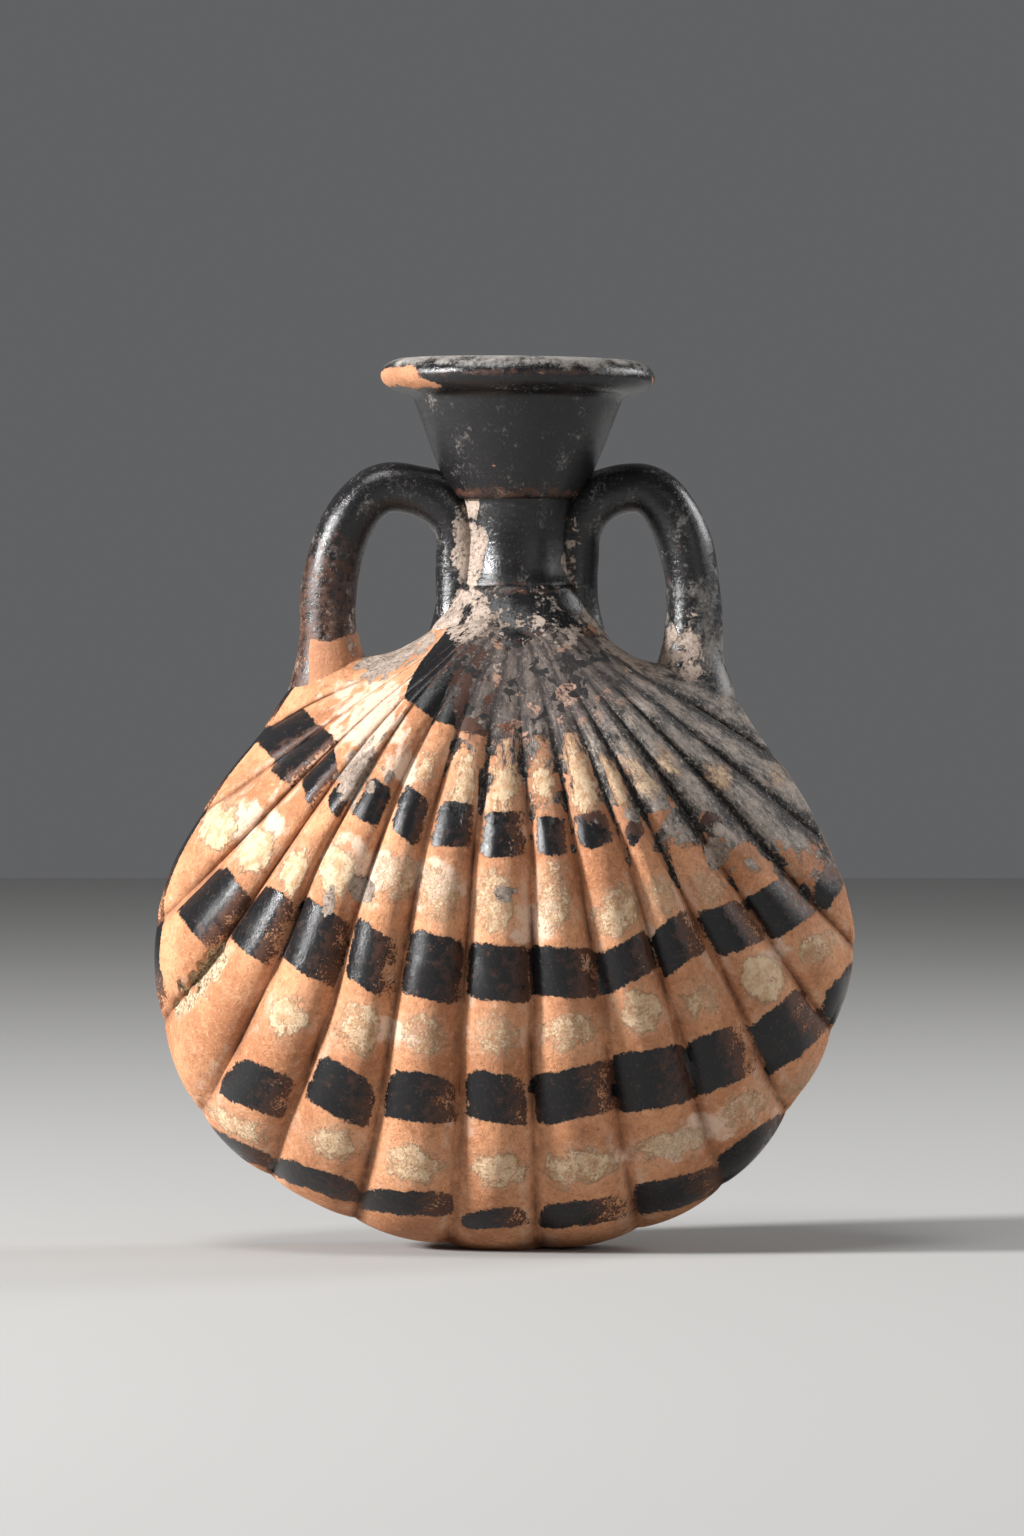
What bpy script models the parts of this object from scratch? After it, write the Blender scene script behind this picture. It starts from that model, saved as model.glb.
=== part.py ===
"""Amphoriskos: a small oil flask of fired clay with a body moulded as a ribbed cockle shell.

Two shell valves meet on a luted strip. A collar closes the top of the shell round the neck, the
mouth sits on the neck, and a rolled handle runs from each side of the neck to the shoulder.
Sizes are in metres and degrees. The origin is the middle of the flask on the surface it stands on,
+X to the viewer's right, -Y towards the viewer, +Z up.
"""
from collections import namedtuple
from math import cos, pi, radians, sin, tan, tanh

import bmesh
import bpy

# Shell outline, measured from the umbo, the point under the neck that the ribs fan out from
SHELL_HALF_WIDTH = 0.0391   # middle to margin at the widest level
SHELL_DROP = 0.0726         # umbo down to the lowest margin
WIDEST_DROP = 0.0370        # umbo down to the widest level
BELLY_POWER = 2.2           # fullness of the outline below the widest level
SHOULDER_POWER = 1.46       # fullness of the outline above it
SHELL_TILT = 2.0            # lean of the whole shell about the umbo
REST_CUT = 0.00035          # depth of the flat that the flask stands on

# Valves
VALVE_DEPTH = 0.0222        # seam face out to the highest rib
VALVE_WALL = 0.0035
DOME_PEAK = 0.45            # share of the way from umbo to margin where the dome is highest
UMBO_SHARE = 0.2            # share of the depth that the dome keeps at the umbo
CROWN_RADIUS = 0.0045       # the shell is open this far round the umbo, under the collar

# Ribs
RIB_COUNT = 17
RIB_PITCH = 8.0             # angle between neighbouring ribs at the margin
RIB_HEIGHT = 0.0013         # crest to groove where the ribs are fullest
RIB_ROUNDING = 2.2          # power of the rib's section: the higher, the narrower the grooves
MARGIN_SCALLOP = 0.0005     # crest to groove along the outline
RIB_SPREAD = 8.0            # how much wider the ribs start out at the umbo
RIB_TURN = 10.0             # angle from the middle rib over which that spread builds up

# Seam strip, and the gap left at every joint between two pieces
STRIP_THICKNESS = 0.003
JOINT_GAP = 0.0003

# Neck: its spigot goes down through the collar, and its tenon up into the mouth
NECK_RISE = 0.0021          # umbo up to the foot of the neck
NECK_LENGTH = 0.0103
NECK_RADIUS = 0.0056        # at the waist
NECK_FLARE = 0.0006         # how much wider the neck is at both ends
BORE_RADIUS = 0.0036
SPIGOT_RADIUS = 0.0052
SPIGOT_LENGTH = 0.0080
TENON_RADIUS = 0.0050
TENON_HEIGHT = 0.0015

# Mouth
MOUTH_HEIGHT = 0.0154
MOUTH_FOOT_RADIUS = 0.0071
MOUTH_TOP_RADIUS = 0.0118   # outside, just under the lip
MOUTH_WALL = 0.0022
MOUTH_FLOOR = 0.0030        # foot up to where the bowl opens out of the bore
MOUTH_FLARE = 0.85          # power of the wall's curve
LIP_RADIUS = 0.0154
LIP_HEIGHT = 0.0039
LIP_ROLL = 0.0030           # reach of the rounded edge
BRIM_FLARE = 0.0017         # how far the bowl opens out at the brim
LIP_UNDERCUT = 0.0006       # fall from the lip's underside to the wall

# Collar
COLLAR_TOP_RADIUS = 0.0064
COLLAR_FOOT_RADIUS = 0.0125
COLLAR_DROP = 0.0085        # foot of the neck down to the collar's widest level

# Handles: a leg on the shoulder, an arch, and a strap pressed down along the neck
LEFT_HANDLE_REACH = 0.0214  # neck's axis out to the middle of the leg
RIGHT_HANDLE_REACH = 0.0199
HANDLE_RADIUS = 0.0032
HANDLE_DEPTH_SCALE = 1.1    # front to back size of the roll against its other size
STRAP_TAPER = 0.62          # size of the strap against the leg
TAPER_EASE = 1.8            # the higher, the later along the handle it thins
STRAP_SET = 0.0012          # middle of the strap outside the neck's waist
ARCH_RISE = 0.0010          # foot of the mouth up to the middle of the roll at the top
ARCH_INNER_DROP = 0.0063    # top of the arch down to where the strap begins
ARCH_OUTER_DROP = 0.0142    # top of the arch down to where the leg begins
LEG_SINK = 0.0040           # how far the leg would run on into the shoulder
STRAP_SINK = 0.0050         # how far the strap would run on into the collar

# Fineness of the solids
COLUMNS_PER_RIB = 4
VALVE_ROWS = 16
HOLLOW_COLUMNS = 34
HOLLOW_ROWS = 12
TURNING_STEPS = 36
WALL_STEPS = 6
LIP_STEPS = 7
ARCH_STEPS = 8
STRAIGHT_STEPS = 3
HANDLE_RESOLUTION = 4
MERGE = 0.000001

# Places worked out from the sizes above
Shell = namedtuple("Shell", "half_width drop widest depth lift")
FAN_EDGE = radians(RIB_COUNT * RIB_PITCH / 2)
TILT = radians(SHELL_TILT)
SEAM_FACE = STRIP_THICKNESS / 2 + JOINT_GAP


def shell_size(offset):
    """Sizes of the shell's surface moved outwards by offset, or inwards where it is negative."""
    lift = offset / sin(FAN_EDGE)
    return Shell(SHELL_HALF_WIDTH + offset, SHELL_DROP + offset + lift, WIDEST_DROP + lift,
                 VALVE_DEPTH + offset, lift)


def outline(across, down, shell):
    """Less than one inside the shell's outline, and one on it."""
    if down < shell.widest:
        return (across / shell.half_width) ** 2 + (1 - down / shell.widest) ** SHOULDER_POWER
    below = (down - shell.widest) / (shell.drop - shell.widest)
    return (abs(across) / shell.half_width) ** BELLY_POWER + below ** BELLY_POWER


def reach(angle, shell):
    """Distance from the umbo to the outline along one ray of the fan."""
    inside, outside = 0.0, 2 * shell.drop
    for _ in range(48):
        middle = (inside + outside) / 2
        if outline(middle * sin(angle), middle * cos(angle), shell) < 1:
            inside = middle
        else:
            outside = middle
    return inside


def groove(angle):
    """0 on the crest of a rib and 1 at the bottom of a groove."""
    place = (angle / radians(RIB_PITCH) + RIB_COUNT / 2) % 1.0 - 0.5
    return abs(2 * place) ** RIB_ROUNDING


def dome(share):
    """Height of the dome, as a share of the depth, at a share of the way from umbo to margin."""
    if share < DOME_PEAK:
        return 1 - (1 - UMBO_SHARE) * ((DOME_PEAK - share) / DOME_PEAK) ** 1.8
    out = min((share - DOME_PEAK) / (1 - DOME_PEAK), 1.0)
    return (1 - out ** 2.3) ** 0.55


def margin(angle, shell, ribbed):
    """Distance from the umbo to the scalloped margin."""
    return reach(angle, shell) - (MARGIN_SCALLOP * groove(angle) if ribbed else 0.0)


OUTER = shell_size(0.0)
FAN = [FAN_EDGE * (2 * i / (RIB_COUNT * COLUMNS_PER_RIB) - 1)
       for i in range(RIB_COUNT * COLUMNS_PER_RIB + 1)]
SIDES = [margin(angle, OUTER, True) * sin(angle - TILT) for angle in FAN]
DROPS = [margin(angle, OUTER, True) * cos(angle - TILT) for angle in FAN]
UMBO_X = -(min(SIDES) + max(SIDES)) / 2
UMBO_Z = max(DROPS) - REST_CUT
NECK_FOOT = UMBO_Z + NECK_RISE
MOUTH_FOOT = NECK_FOOT + NECK_LENGTH
RIM = MOUTH_FOOT + MOUTH_HEIGHT


def shell_point(angle, share, shell, ribbed):
    """Point (x, height over the seam face, z) of a valve's surface."""
    edge = 1 - (angle / FAN_EDGE) ** 2
    cut = groove(angle) if ribbed else 0.0
    spread = radians(RIB_SPREAD) * (1 - share) * tanh(angle / radians(RIB_TURN)) * edge
    heading = angle + spread - TILT
    radius = share * margin(angle, shell, ribbed)
    depth = shell.depth - RIB_HEIGHT * min(1.0, 2 * share) * cut
    height = depth * dome(share) * max(edge, 0.0) ** 0.75
    x = UMBO_X + radius * sin(heading)
    z = UMBO_Z + shell.lift - radius * cos(heading)
    return x, height, z


def new_collection(name):
    collection = bpy.data.collections.new(name)
    bpy.context.scene.collection.children.link(collection)
    return collection


def new_object(name, mesh, collection):
    obj = bpy.data.objects.new(name, mesh)
    collection.objects.link(obj)
    return obj


def clay(name, colour, roughness):
    """Principled material of one piece."""
    material = bpy.data.materials.new(name)
    material.use_nodes = True
    shader = material.node_tree.nodes["Principled BSDF"]
    shader.inputs["Base Color"].default_value = (*colour, 1.0)
    shader.inputs["Roughness"].default_value = roughness
    shader.inputs["Metallic"].default_value = 0.0
    return material


def as_cutter(obj):
    obj.hide_render = True
    obj.display_type = "WIRE"
    return obj


def cut(obj, cutter):
    boolean = obj.modifiers.new("cut " + cutter.name, "BOOLEAN")
    boolean.operation = "DIFFERENCE"
    boolean.solver = "EXACT"
    boolean.object = cutter


def domed_grid(shell, columns, rows, ribbed):
    """Open dome of one valve in front of the seam face: row 0 is the foot of the crown's wall."""
    bm = bmesh.new()
    bmesh.ops.create_grid(bm, x_segments=columns, y_segments=rows, size=0.5)
    for vert in bm.verts:
        angle = FAN_EDGE * 2 * vert.co.x
        row = round((vert.co.y + 0.5) * rows)
        along = max(row - 1, 0) / (rows - 1)
        start = CROWN_RADIUS / margin(angle, shell, ribbed)
        share = start + (1 - start) * (1 - (1 - along) ** 2)
        x, height, z = shell_point(angle, share, shell, ribbed)
        if row == 0:
            height = 0.0
        vert.co = (x, -SEAM_FACE - height, z)
    return bm


def finish_mesh(bm, name):
    bmesh.ops.recalc_face_normals(bm, faces=bm.faces)
    mesh = bpy.data.meshes.new(name)
    bm.to_mesh(mesh)
    bm.free()
    return mesh


def valve(name, side, collection):
    """One solid valve: side is -1 for the front and 1 for the back."""
    bm = domed_grid(OUTER, RIB_COUNT * COLUMNS_PER_RIB, VALVE_ROWS, True)
    open_edges = [edge for edge in bm.edges if edge.is_boundary]
    bmesh.ops.holes_fill(bm, edges=open_edges, sides=0)
    for vert in bm.verts:
        vert.co.y *= -side
    return new_object(name, finish_mesh(bm, name), collection)


def whole_shell(name, shell, columns, rows, ribbed, collection):
    """Closed body of both valves and the strip between them, as a cutter."""
    bm = domed_grid(shell, columns, rows, ribbed)
    open_edges = [edge for edge in bm.edges if edge.is_boundary]
    grown = bmesh.ops.extrude_edge_only(bm, edges=open_edges)["geom"]
    for vert in grown:
        if isinstance(vert, bmesh.types.BMVert):
            vert.co.y = 0.0
    bmesh.ops.mirror(bm, geom=bm.verts[:] + bm.edges[:] + bm.faces[:], axis="Y", merge_dist=MERGE)
    bmesh.ops.remove_doubles(bm, verts=bm.verts, dist=MERGE)
    return as_cutter(new_object(name, finish_mesh(bm, name), collection))


def round_cutter(name, radius, half_height, collection):
    """Upright cylinder on the neck's axis, with its middle at the umbo."""
    bm = bmesh.new()
    bmesh.ops.create_cone(bm, cap_ends=True, segments=TURNING_STEPS, radius1=radius, radius2=radius,
                          depth=2 * half_height)
    bmesh.ops.translate(bm, verts=bm.verts, vec=(UMBO_X, 0.0, UMBO_Z))
    return as_cutter(new_object(name, finish_mesh(bm, name), collection))


def floor_cutter(name, collection):
    """Block whose top is the level that the flask stands on."""
    bm = bmesh.new()
    bmesh.ops.create_cube(bm, size=2.0)
    size = (SHELL_HALF_WIDTH, SEAM_FACE + VALVE_DEPTH, SHELL_DROP)
    bmesh.ops.scale(bm, verts=bm.verts, vec=size)
    bmesh.ops.translate(bm, verts=bm.verts, vec=(0.0, 0.0, -SHELL_DROP))
    return as_cutter(new_object(name, finish_mesh(bm, name), collection))


def curve_to_mesh(curve, name, collection):
    """Mesh object of a curve, with its caps welded on."""
    depsgraph = bpy.context.evaluated_depsgraph_get()
    mesh = bpy.data.meshes.new_from_object(curve.evaluated_get(depsgraph))
    bm = bmesh.new()
    bm.from_mesh(mesh)
    bmesh.ops.remove_doubles(bm, verts=bm.verts, dist=MERGE)
    bmesh.ops.recalc_face_normals(bm, faces=bm.faces)
    bm.to_mesh(mesh)
    bm.free()
    obj = new_object(name, mesh, collection)
    obj.matrix_world = curve.matrix_world.copy()
    bpy.data.objects.remove(curve)
    return obj


def seam_strip(name, collection):
    """Flat strip that follows the margin and both shoulder edges, before it is hollowed."""
    round_margin = [shell_point(angle, 1.0, OUTER, True) for angle in FAN]
    round_crown = [shell_point(angle, CROWN_RADIUS / margin(angle, OUTER, True), OUTER, True)
                   for angle in reversed(FAN)]
    points = [(x, z) for x, _, z in round_margin + round_crown]
    data = bpy.data.curves.new(name, "CURVE")
    data.dimensions = "2D"
    data.fill_mode = "BOTH"
    data.extrude = STRIP_THICKNESS / 2
    spline = data.splines.new("POLY")
    spline.points.add(len(points) - 1)
    for point, (x, z) in zip(spline.points, points):
        point.co = (x, z, 0.0, 1.0)
    spline.use_cyclic_u = True
    curve = new_object(name + " outline", data, collection)
    curve.rotation_euler.x = pi / 2
    bpy.context.view_layer.update()
    return curve_to_mesh(curve, name, collection)


def turned(name, profile, closed, collection):
    """Solid of revolution about the neck's axis from (radius, z) points down its outer side."""
    count = len(profile)
    edges = [(i, i + 1) for i in range(count - 1)]
    if closed:
        edges.append((count - 1, 0))
    mesh = bpy.data.meshes.new(name)
    mesh.from_pydata([(radius, 0.0, z) for radius, z in profile], edges, [])
    obj = new_object(name, mesh, collection)
    obj.location.x = UMBO_X
    screw = obj.modifiers.new("turn", "SCREW")
    screw.axis = "Z"
    screw.steps = TURNING_STEPS
    screw.render_steps = TURNING_STEPS
    screw.use_merge_vertices = True
    screw.merge_threshold = MERGE
    screw.use_smooth_shade = True
    return obj


def steps(count):
    return [i / count for i in range(count + 1)]


def wall_radius(z):
    """Outside of the mouth's wall at a height."""
    rise = (z - MOUTH_FOOT) / (RIM - LIP_HEIGHT - LIP_UNDERCUT - MOUTH_FOOT)
    flare = min(max(rise, 0.0), 1.0) ** MOUTH_FLARE
    return MOUTH_FOOT_RADIUS + (MOUTH_TOP_RADIUS - MOUTH_FOOT_RADIUS) * flare


def mouth_outside(offset):
    """Outer side of the mouth from the top of the lip down to the foot."""
    half = LIP_HEIGHT / 2
    lip = [(LIP_RADIUS - LIP_ROLL + (LIP_ROLL + offset) * sin(pi * s),
            RIM - half + (half + offset) * cos(pi * s)) for s in steps(LIP_STEPS)]
    top = RIM - LIP_HEIGHT - LIP_UNDERCUT
    heights = [top + (MOUTH_FOOT - top) * s for s in steps(WALL_STEPS)]
    return lip + [(wall_radius(z) + offset, z) for z in heights]


def mouth_profile():
    opening = MOUTH_FOOT + MOUTH_FLOOR
    socket = TENON_RADIUS + JOINT_GAP
    ledge = MOUTH_FOOT + TENON_HEIGHT + JOINT_GAP
    inside = [(socket, MOUTH_FOOT), (socket, ledge), (BORE_RADIUS, ledge)]
    brim = RIM - LIP_HEIGHT / 4
    for s in steps(WALL_STEPS):
        z = opening + (brim - opening) * s
        bowl = wall_radius(z) - MOUTH_WALL + (BRIM_FLARE if s == 1.0 else 0.0)
        inside.append((BORE_RADIUS + (bowl - BORE_RADIUS) * s ** 0.5, z))
    return mouth_outside(0.0) + inside


def neck_outside(offset):
    """Outer side of the neck from under the mouth down to the collar."""
    top = MOUTH_FOOT - JOINT_GAP
    return [(NECK_RADIUS + NECK_FLARE * (2 * s - 1) ** 2 + offset, top + (NECK_FOOT - top) * s)
            for s in steps(WALL_STEPS)]


def neck_profile():
    end = UMBO_Z - SPIGOT_LENGTH
    tip = MOUTH_FOOT + TENON_HEIGHT
    tenon = [(BORE_RADIUS, tip), (TENON_RADIUS, tip), (TENON_RADIUS, MOUTH_FOOT - JOINT_GAP)]
    spigot = [(SPIGOT_RADIUS, NECK_FOOT), (SPIGOT_RADIUS, end), (BORE_RADIUS, end)]
    return tenon + neck_outside(0.0) + spigot


def collar_outside(offset):
    top = NECK_FOOT - JOINT_GAP + offset
    return [(COLLAR_TOP_RADIUS + offset, top), (COLLAR_FOOT_RADIUS + offset, NECK_FOOT - COLLAR_DROP)]


def collar_profile():
    bore = SPIGOT_RADIUS + JOINT_GAP
    outside = collar_outside(0.0)
    return [(bore, outside[0][1])] + outside + [(bore, outside[-1][1])]


def turned_clearance_profile():
    """Mouth, neck and collar as one solid, a joint's gap larger than they are."""
    outside = mouth_outside(JOINT_GAP) + neck_outside(JOINT_GAP)[1:] + collar_outside(JOINT_GAP)
    return [(0.0, outside[0][1])] + outside + [(0.0, outside[-1][1])]


def handle(name, side, distance, collection):
    """Rolled handle on one side of the neck: side is -1 for the left and 1 for the right."""
    strap_x = NECK_RADIUS + STRAP_SET
    arch_x = (strap_x + distance) / 2
    half = (distance - strap_x) / 2
    top = MOUTH_FOOT + ARCH_RISE
    leg_top = top - ARCH_OUTER_DROP
    leg_end = UMBO_Z - distance / tan(FAN_EDGE + side * TILT) - LEG_SINK
    strap_top = top - ARCH_INNER_DROP
    strap_end = NECK_FOOT - STRAP_SINK
    path = [(distance, leg_end + (leg_top - leg_end) * s) for s in steps(STRAIGHT_STEPS)]
    for s in steps(ARCH_STEPS)[1:]:
        path.append((arch_x + half * cos(pi / 2 * s), leg_top + (top - leg_top) * sin(pi / 2 * s)))
    for s in steps(ARCH_STEPS)[1:]:
        path.append((arch_x - half * sin(pi / 2 * s),
                     strap_top + (top - strap_top) * cos(pi / 2 * s)))
    path += [(strap_x, strap_top + (strap_end - strap_top) * s) for s in steps(STRAIGHT_STEPS)[1:]]
    data = bpy.data.curves.new(name, "CURVE")
    data.dimensions = "3D"
    data.bevel_depth = HANDLE_RADIUS
    data.bevel_resolution = HANDLE_RESOLUTION
    data.use_fill_caps = True
    spline = data.splines.new("POLY")
    spline.points.add(len(path) - 1)
    for i, (point, (x, z)) in enumerate(zip(spline.points, path)):
        point.co = (UMBO_X + side * x, 0.0, z, 1.0)
        point.radius = 1 + (STRAP_TAPER - 1) * (i / (len(path) - 1)) ** TAPER_EASE
    curve = new_object(name + " path", data, collection)
    bpy.context.view_layer.update()
    obj = curve_to_mesh(curve, name, collection)
    for vert in obj.data.vertices:
        vert.co.y *= HANDLE_DEPTH_SCALE
    return obj


def main():
    for obj in list(bpy.data.objects):
        bpy.data.objects.remove(obj)
    parts = new_collection("amphoriskos")
    cutters = new_collection("cutters")

    hollow = whole_shell("hollow", shell_size(-VALVE_WALL), HOLLOW_COLUMNS, HOLLOW_ROWS, False, cutters)
    shell_room = whole_shell("shell clearance", shell_size(JOINT_GAP), RIB_COUNT * COLUMNS_PER_RIB,
                             VALVE_ROWS, True, cutters)
    turned_room = as_cutter(turned("turned clearance", turned_clearance_profile(), False, cutters))
    neck_hole = round_cutter("neck hole", SPIGOT_RADIUS + JOINT_GAP, SPIGOT_LENGTH + VALVE_WALL, cutters)
    floor = floor_cutter("floor", cutters)

    terracotta = (0.62, 0.27, 0.11)
    glaze = (0.018, 0.017, 0.018)
    made = {}
    made["front_valve"] = valve("front_valve", -1, parts)
    made["back_valve"] = valve("back_valve", 1, parts)
    made["seam_strip"] = seam_strip("seam_strip", parts)
    for name in ("front_valve", "back_valve", "seam_strip"):
        cut(made[name], floor)
        cut(made[name], hollow)
        cut(made[name], neck_hole)
        made[name].data.materials.append(clay(name, terracotta, 0.75))

    made["shoulder_collar"] = turned("shoulder_collar", collar_profile(), True, parts)
    cut(made["shoulder_collar"], shell_room)
    made["neck"] = turned("neck", neck_profile(), True, parts)
    made["mouth"] = turned("mouth", mouth_profile(), True, parts)
    for name in ("shoulder_collar", "neck", "mouth"):
        made[name].data.materials.append(clay(name, glaze, 0.3))

    made["left_handle"] = handle("left_handle", -1, LEFT_HANDLE_REACH, parts)
    made["right_handle"] = handle("right_handle", 1, RIGHT_HANDLE_REACH, parts)
    for name in ("left_handle", "right_handle"):
        cut(made[name], shell_room)
        cut(made[name], turned_room)
        made[name].data.materials.append(clay(name, glaze, 0.35))

    for obj in made.values():
        obj.data.shade_smooth()
        obj.data.set_sharp_from_angle(angle=radians(40))


main()
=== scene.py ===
import math
import random

import bpy
import numpy as np
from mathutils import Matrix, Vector, noise
from mathutils.bvhtree import BVHTree


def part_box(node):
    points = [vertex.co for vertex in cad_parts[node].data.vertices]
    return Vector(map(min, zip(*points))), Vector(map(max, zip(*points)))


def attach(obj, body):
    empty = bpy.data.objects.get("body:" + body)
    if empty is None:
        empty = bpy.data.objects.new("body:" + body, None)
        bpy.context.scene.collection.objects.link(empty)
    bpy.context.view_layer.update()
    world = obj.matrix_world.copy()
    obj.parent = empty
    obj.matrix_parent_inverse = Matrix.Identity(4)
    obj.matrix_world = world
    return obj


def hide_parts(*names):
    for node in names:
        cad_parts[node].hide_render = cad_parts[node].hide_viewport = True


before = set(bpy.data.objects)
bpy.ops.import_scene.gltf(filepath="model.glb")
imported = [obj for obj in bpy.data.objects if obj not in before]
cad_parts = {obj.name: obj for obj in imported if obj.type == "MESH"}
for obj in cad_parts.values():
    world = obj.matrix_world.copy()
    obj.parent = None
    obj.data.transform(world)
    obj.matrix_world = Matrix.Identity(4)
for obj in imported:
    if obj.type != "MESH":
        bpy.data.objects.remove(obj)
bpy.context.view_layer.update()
mm = 0.001
dice = random.Random(11)
print("frame loaded:", len(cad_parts), "nodes")

# Places read from the frame
neckLow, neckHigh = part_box("neck")
mouthLow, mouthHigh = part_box("mouth")
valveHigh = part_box("front_valve")[1]
spigotLength = 8.0 * mm                  # how far the neck goes down below the umbo
neckRise = 2.1 * mm                      # umbo up to the foot of the neck
axisX = (neckLow.x + neckHigh.x) / 2     # the neck's axis
umboZ = neckLow.z + spigotLength         # where the ribs fan out from
neckFoot = umboZ + neckRise
paintTop = umboZ + 1.3 * mm              # top of the fan: painted marks are measured from here
mouthFoot = mouthLow.z
rim = mouthHigh.z
seamFace = -valveHigh.y                  # the front valve ends this far before the middle


# Modelling helpers
def clearSelection():
    if bpy.context.object and bpy.context.object.mode != "OBJECT":
        bpy.ops.object.mode_set(mode="OBJECT")
    bpy.ops.object.select_all(action="DESELECT")


def editWhole(piece):
    clearSelection()
    piece.select_set(True)
    bpy.context.view_layer.objects.active = piece
    bpy.ops.object.mode_set(mode="EDIT")
    bpy.ops.mesh.select_all(action="SELECT")


def gridSheet(name, columns, rows, place):
    # a grid whose points are laid by place(across, along), both from 0 to 1
    clearSelection()
    bpy.ops.mesh.primitive_grid_add(x_subdivisions=columns, y_subdivisions=rows, size=1.0)
    sheet = bpy.context.object
    sheet.name = name
    for vertex in sheet.data.vertices:
        vertex.co = place(vertex.co.x + 0.5, vertex.co.y + 0.5)
    return sheet


def closeUp(piece):
    # welds the seam, caps open ends and points the faces outwards
    editWhole(piece)
    bpy.ops.mesh.remove_doubles(threshold=0.002 * mm)
    bpy.ops.mesh.select_all(action="SELECT")
    bpy.ops.mesh.fill_holes(sides=0)
    bpy.ops.mesh.select_all(action="SELECT")
    bpy.ops.mesh.normals_make_consistent(inside=False)
    bpy.ops.object.mode_set(mode="OBJECT")
    bpy.ops.object.shade_smooth()


def turnRings(name, profile, ringVertices):
    # a circle extruded ring by ring round a closed profile of (radius, height)
    clearSelection()
    firstRadius, firstHeight = profile[0]
    bpy.ops.mesh.primitive_circle_add(vertices=ringVertices, radius=firstRadius)
    piece = bpy.context.object
    piece.name = name
    editWhole(piece)
    bpy.ops.transform.translate(value=(0, 0, firstHeight))
    for here, there in zip(profile, profile[1:] + profile[:1]):
        widen = there[0] / here[0]
        bpy.ops.mesh.extrude_edges_move(TRANSFORM_OT_translate={"value": (0, 0, there[1] - here[1])})
        bpy.ops.transform.resize(value=(widen, widen, 1), center_override=(0, 0, there[1]))
    bpy.ops.mesh.select_all(action="SELECT")
    bpy.ops.transform.translate(value=(axisX, 0, 0))
    bpy.ops.object.mode_set(mode="OBJECT")
    closeUp(piece)
    return piece


def storeFields(piece, rows):
    # one attribute for each key, with a row for each point
    for name in rows[0]:
        layer = piece.data.attributes.new(name, "FLOAT", "POINT")
        layer.data.foreach_set("value", [row[name] for row in rows])


def handWobble(point, *layers):
    # smooth unevenness of a hand-made surface, in layers of (size, depth)
    return sum(noise.noise(point / size) * depth for size, depth in layers)


def steps(count):
    return [i / count for i in range(count + 1)]


def smoothStep(low, high, value):
    t = min(max((value - low) / (high - low), 0.0), 1.0)
    return t * t * (3 - 2 * t)


def alongList(knots, place):
    # straight lines between (place, value) knots
    if place <= knots[0][0]:
        return knots[0][1]
    for (a, low), (b, high) in zip(knots, knots[1:]):
        if place <= b:
            return low + (high - low) * (place - a) / (b - a)
    return knots[-1][1]


# Shell body: two ribbed valves
shell = {
    "halfWidth": 39.1 * mm, "drop": 72.6 * mm, "widestDrop": 37.0 * mm,
    "bellyPower": 2.2, "shoulderPower": 1.46, "tilt": math.radians(2.0),
    "depth": 22.2 * mm, "wall": 3.5 * mm, "crown": 4.5 * mm,
    "domePeak": 0.45, "umboShare": 0.2,      # where the dome is highest, and its height at the umbo
    "domeRise": 1.8, "domeFall": (2.3, 0.55), "shoulderFall": 0.75,
    "ribs": 17, "pitch": math.radians(8.0),
    "ribSpread": 0.075,                      # how much wider than the pitch the middle ribs are
    "ribHeight": 2.6 * mm, "ribSlender": 0.36,    # most relief, outright and against a rib's width
    "grooveBowl": 0.5, "grooveArc": 0.58, "arcShare": 0.98,    # a parabola and an arc, added
    "ribStart": 6 * mm, "ribFull": 22 * mm,  # the ribs rise between these distances from the umbo
    "ribFade": 3.2 * mm,                     # and fade out on the last of the dome's height
    "ribDrift": 0.12, "driftLength": 14 * mm, "ribUneven": 0.16, "unevenLength": 22 * mm,
    "wobble": [(11 * mm, 0.25 * mm), (3.4 * mm, 0.07 * mm)],
    "scallop": 0.5 * mm, "columnsPerRib": 14, "rows": 170, "rowGather": 1.8,
    # how much further out than the even outline the margin lies, by heading in degrees
    "uneven": [(-62, -0.02), (-54, 0.01), (-40, 0.013), (-32, 0.013), (-19, -0.008), (0, 0.0),
               (19, -0.01), (30, -0.03), (39, -0.014), (46, 0.012), (54, 0.022), (66, 0.03)],
}
fanEdge = shell["ribs"] * shell["pitch"] / 2
edgeRib = shell["ribs"] / 2

# sweep: how far each groove swings out near the umbo, in degrees, from left shoulder to right
# scars: rib number, mm from the top of the fan, half size in ribs and in mm, depth in mm
frontValve = {
    "side": -1,
    "sweep": [0, -4, -9, -14, -19, -25, -21, -17, -10, 1, 6, 12, 9, 11, 10, 7, 3, 0],
    "scars": [(-4.46, 54.6, 0.19, 5.0, 0.9)],
}
backValve = {
    "side": 1,
    "sweep": [0, -2, -5, -8, -10, -11, -11, -10, -4, 4, 10, 11, 11, 10, 8, 5, 2, 0],
    "scars": [(3.6, 48.0, 0.4, 2.8, 0.6), (-2.1, 60.0, 0.3, 2.0, 0.4)],
}


def shellSize(offset):
    lift = offset / math.sin(fanEdge)
    return {"halfWidth": shell["halfWidth"] + offset, "drop": shell["drop"] + offset + lift,
            "widest": shell["widestDrop"] + lift, "depth": shell["depth"] + offset, "lift": lift}


def fanAngle(ribPlace):
    # heading of a place on the fan, with the ribs wider in the middle than at the shoulders
    return ribPlace * shell["pitch"] * (1 + shell["ribSpread"] * (1 - (ribPlace / edgeRib) ** 4))


outerSize = shellSize(0.0)
innerSize = shellSize(-shell["wall"])


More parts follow.
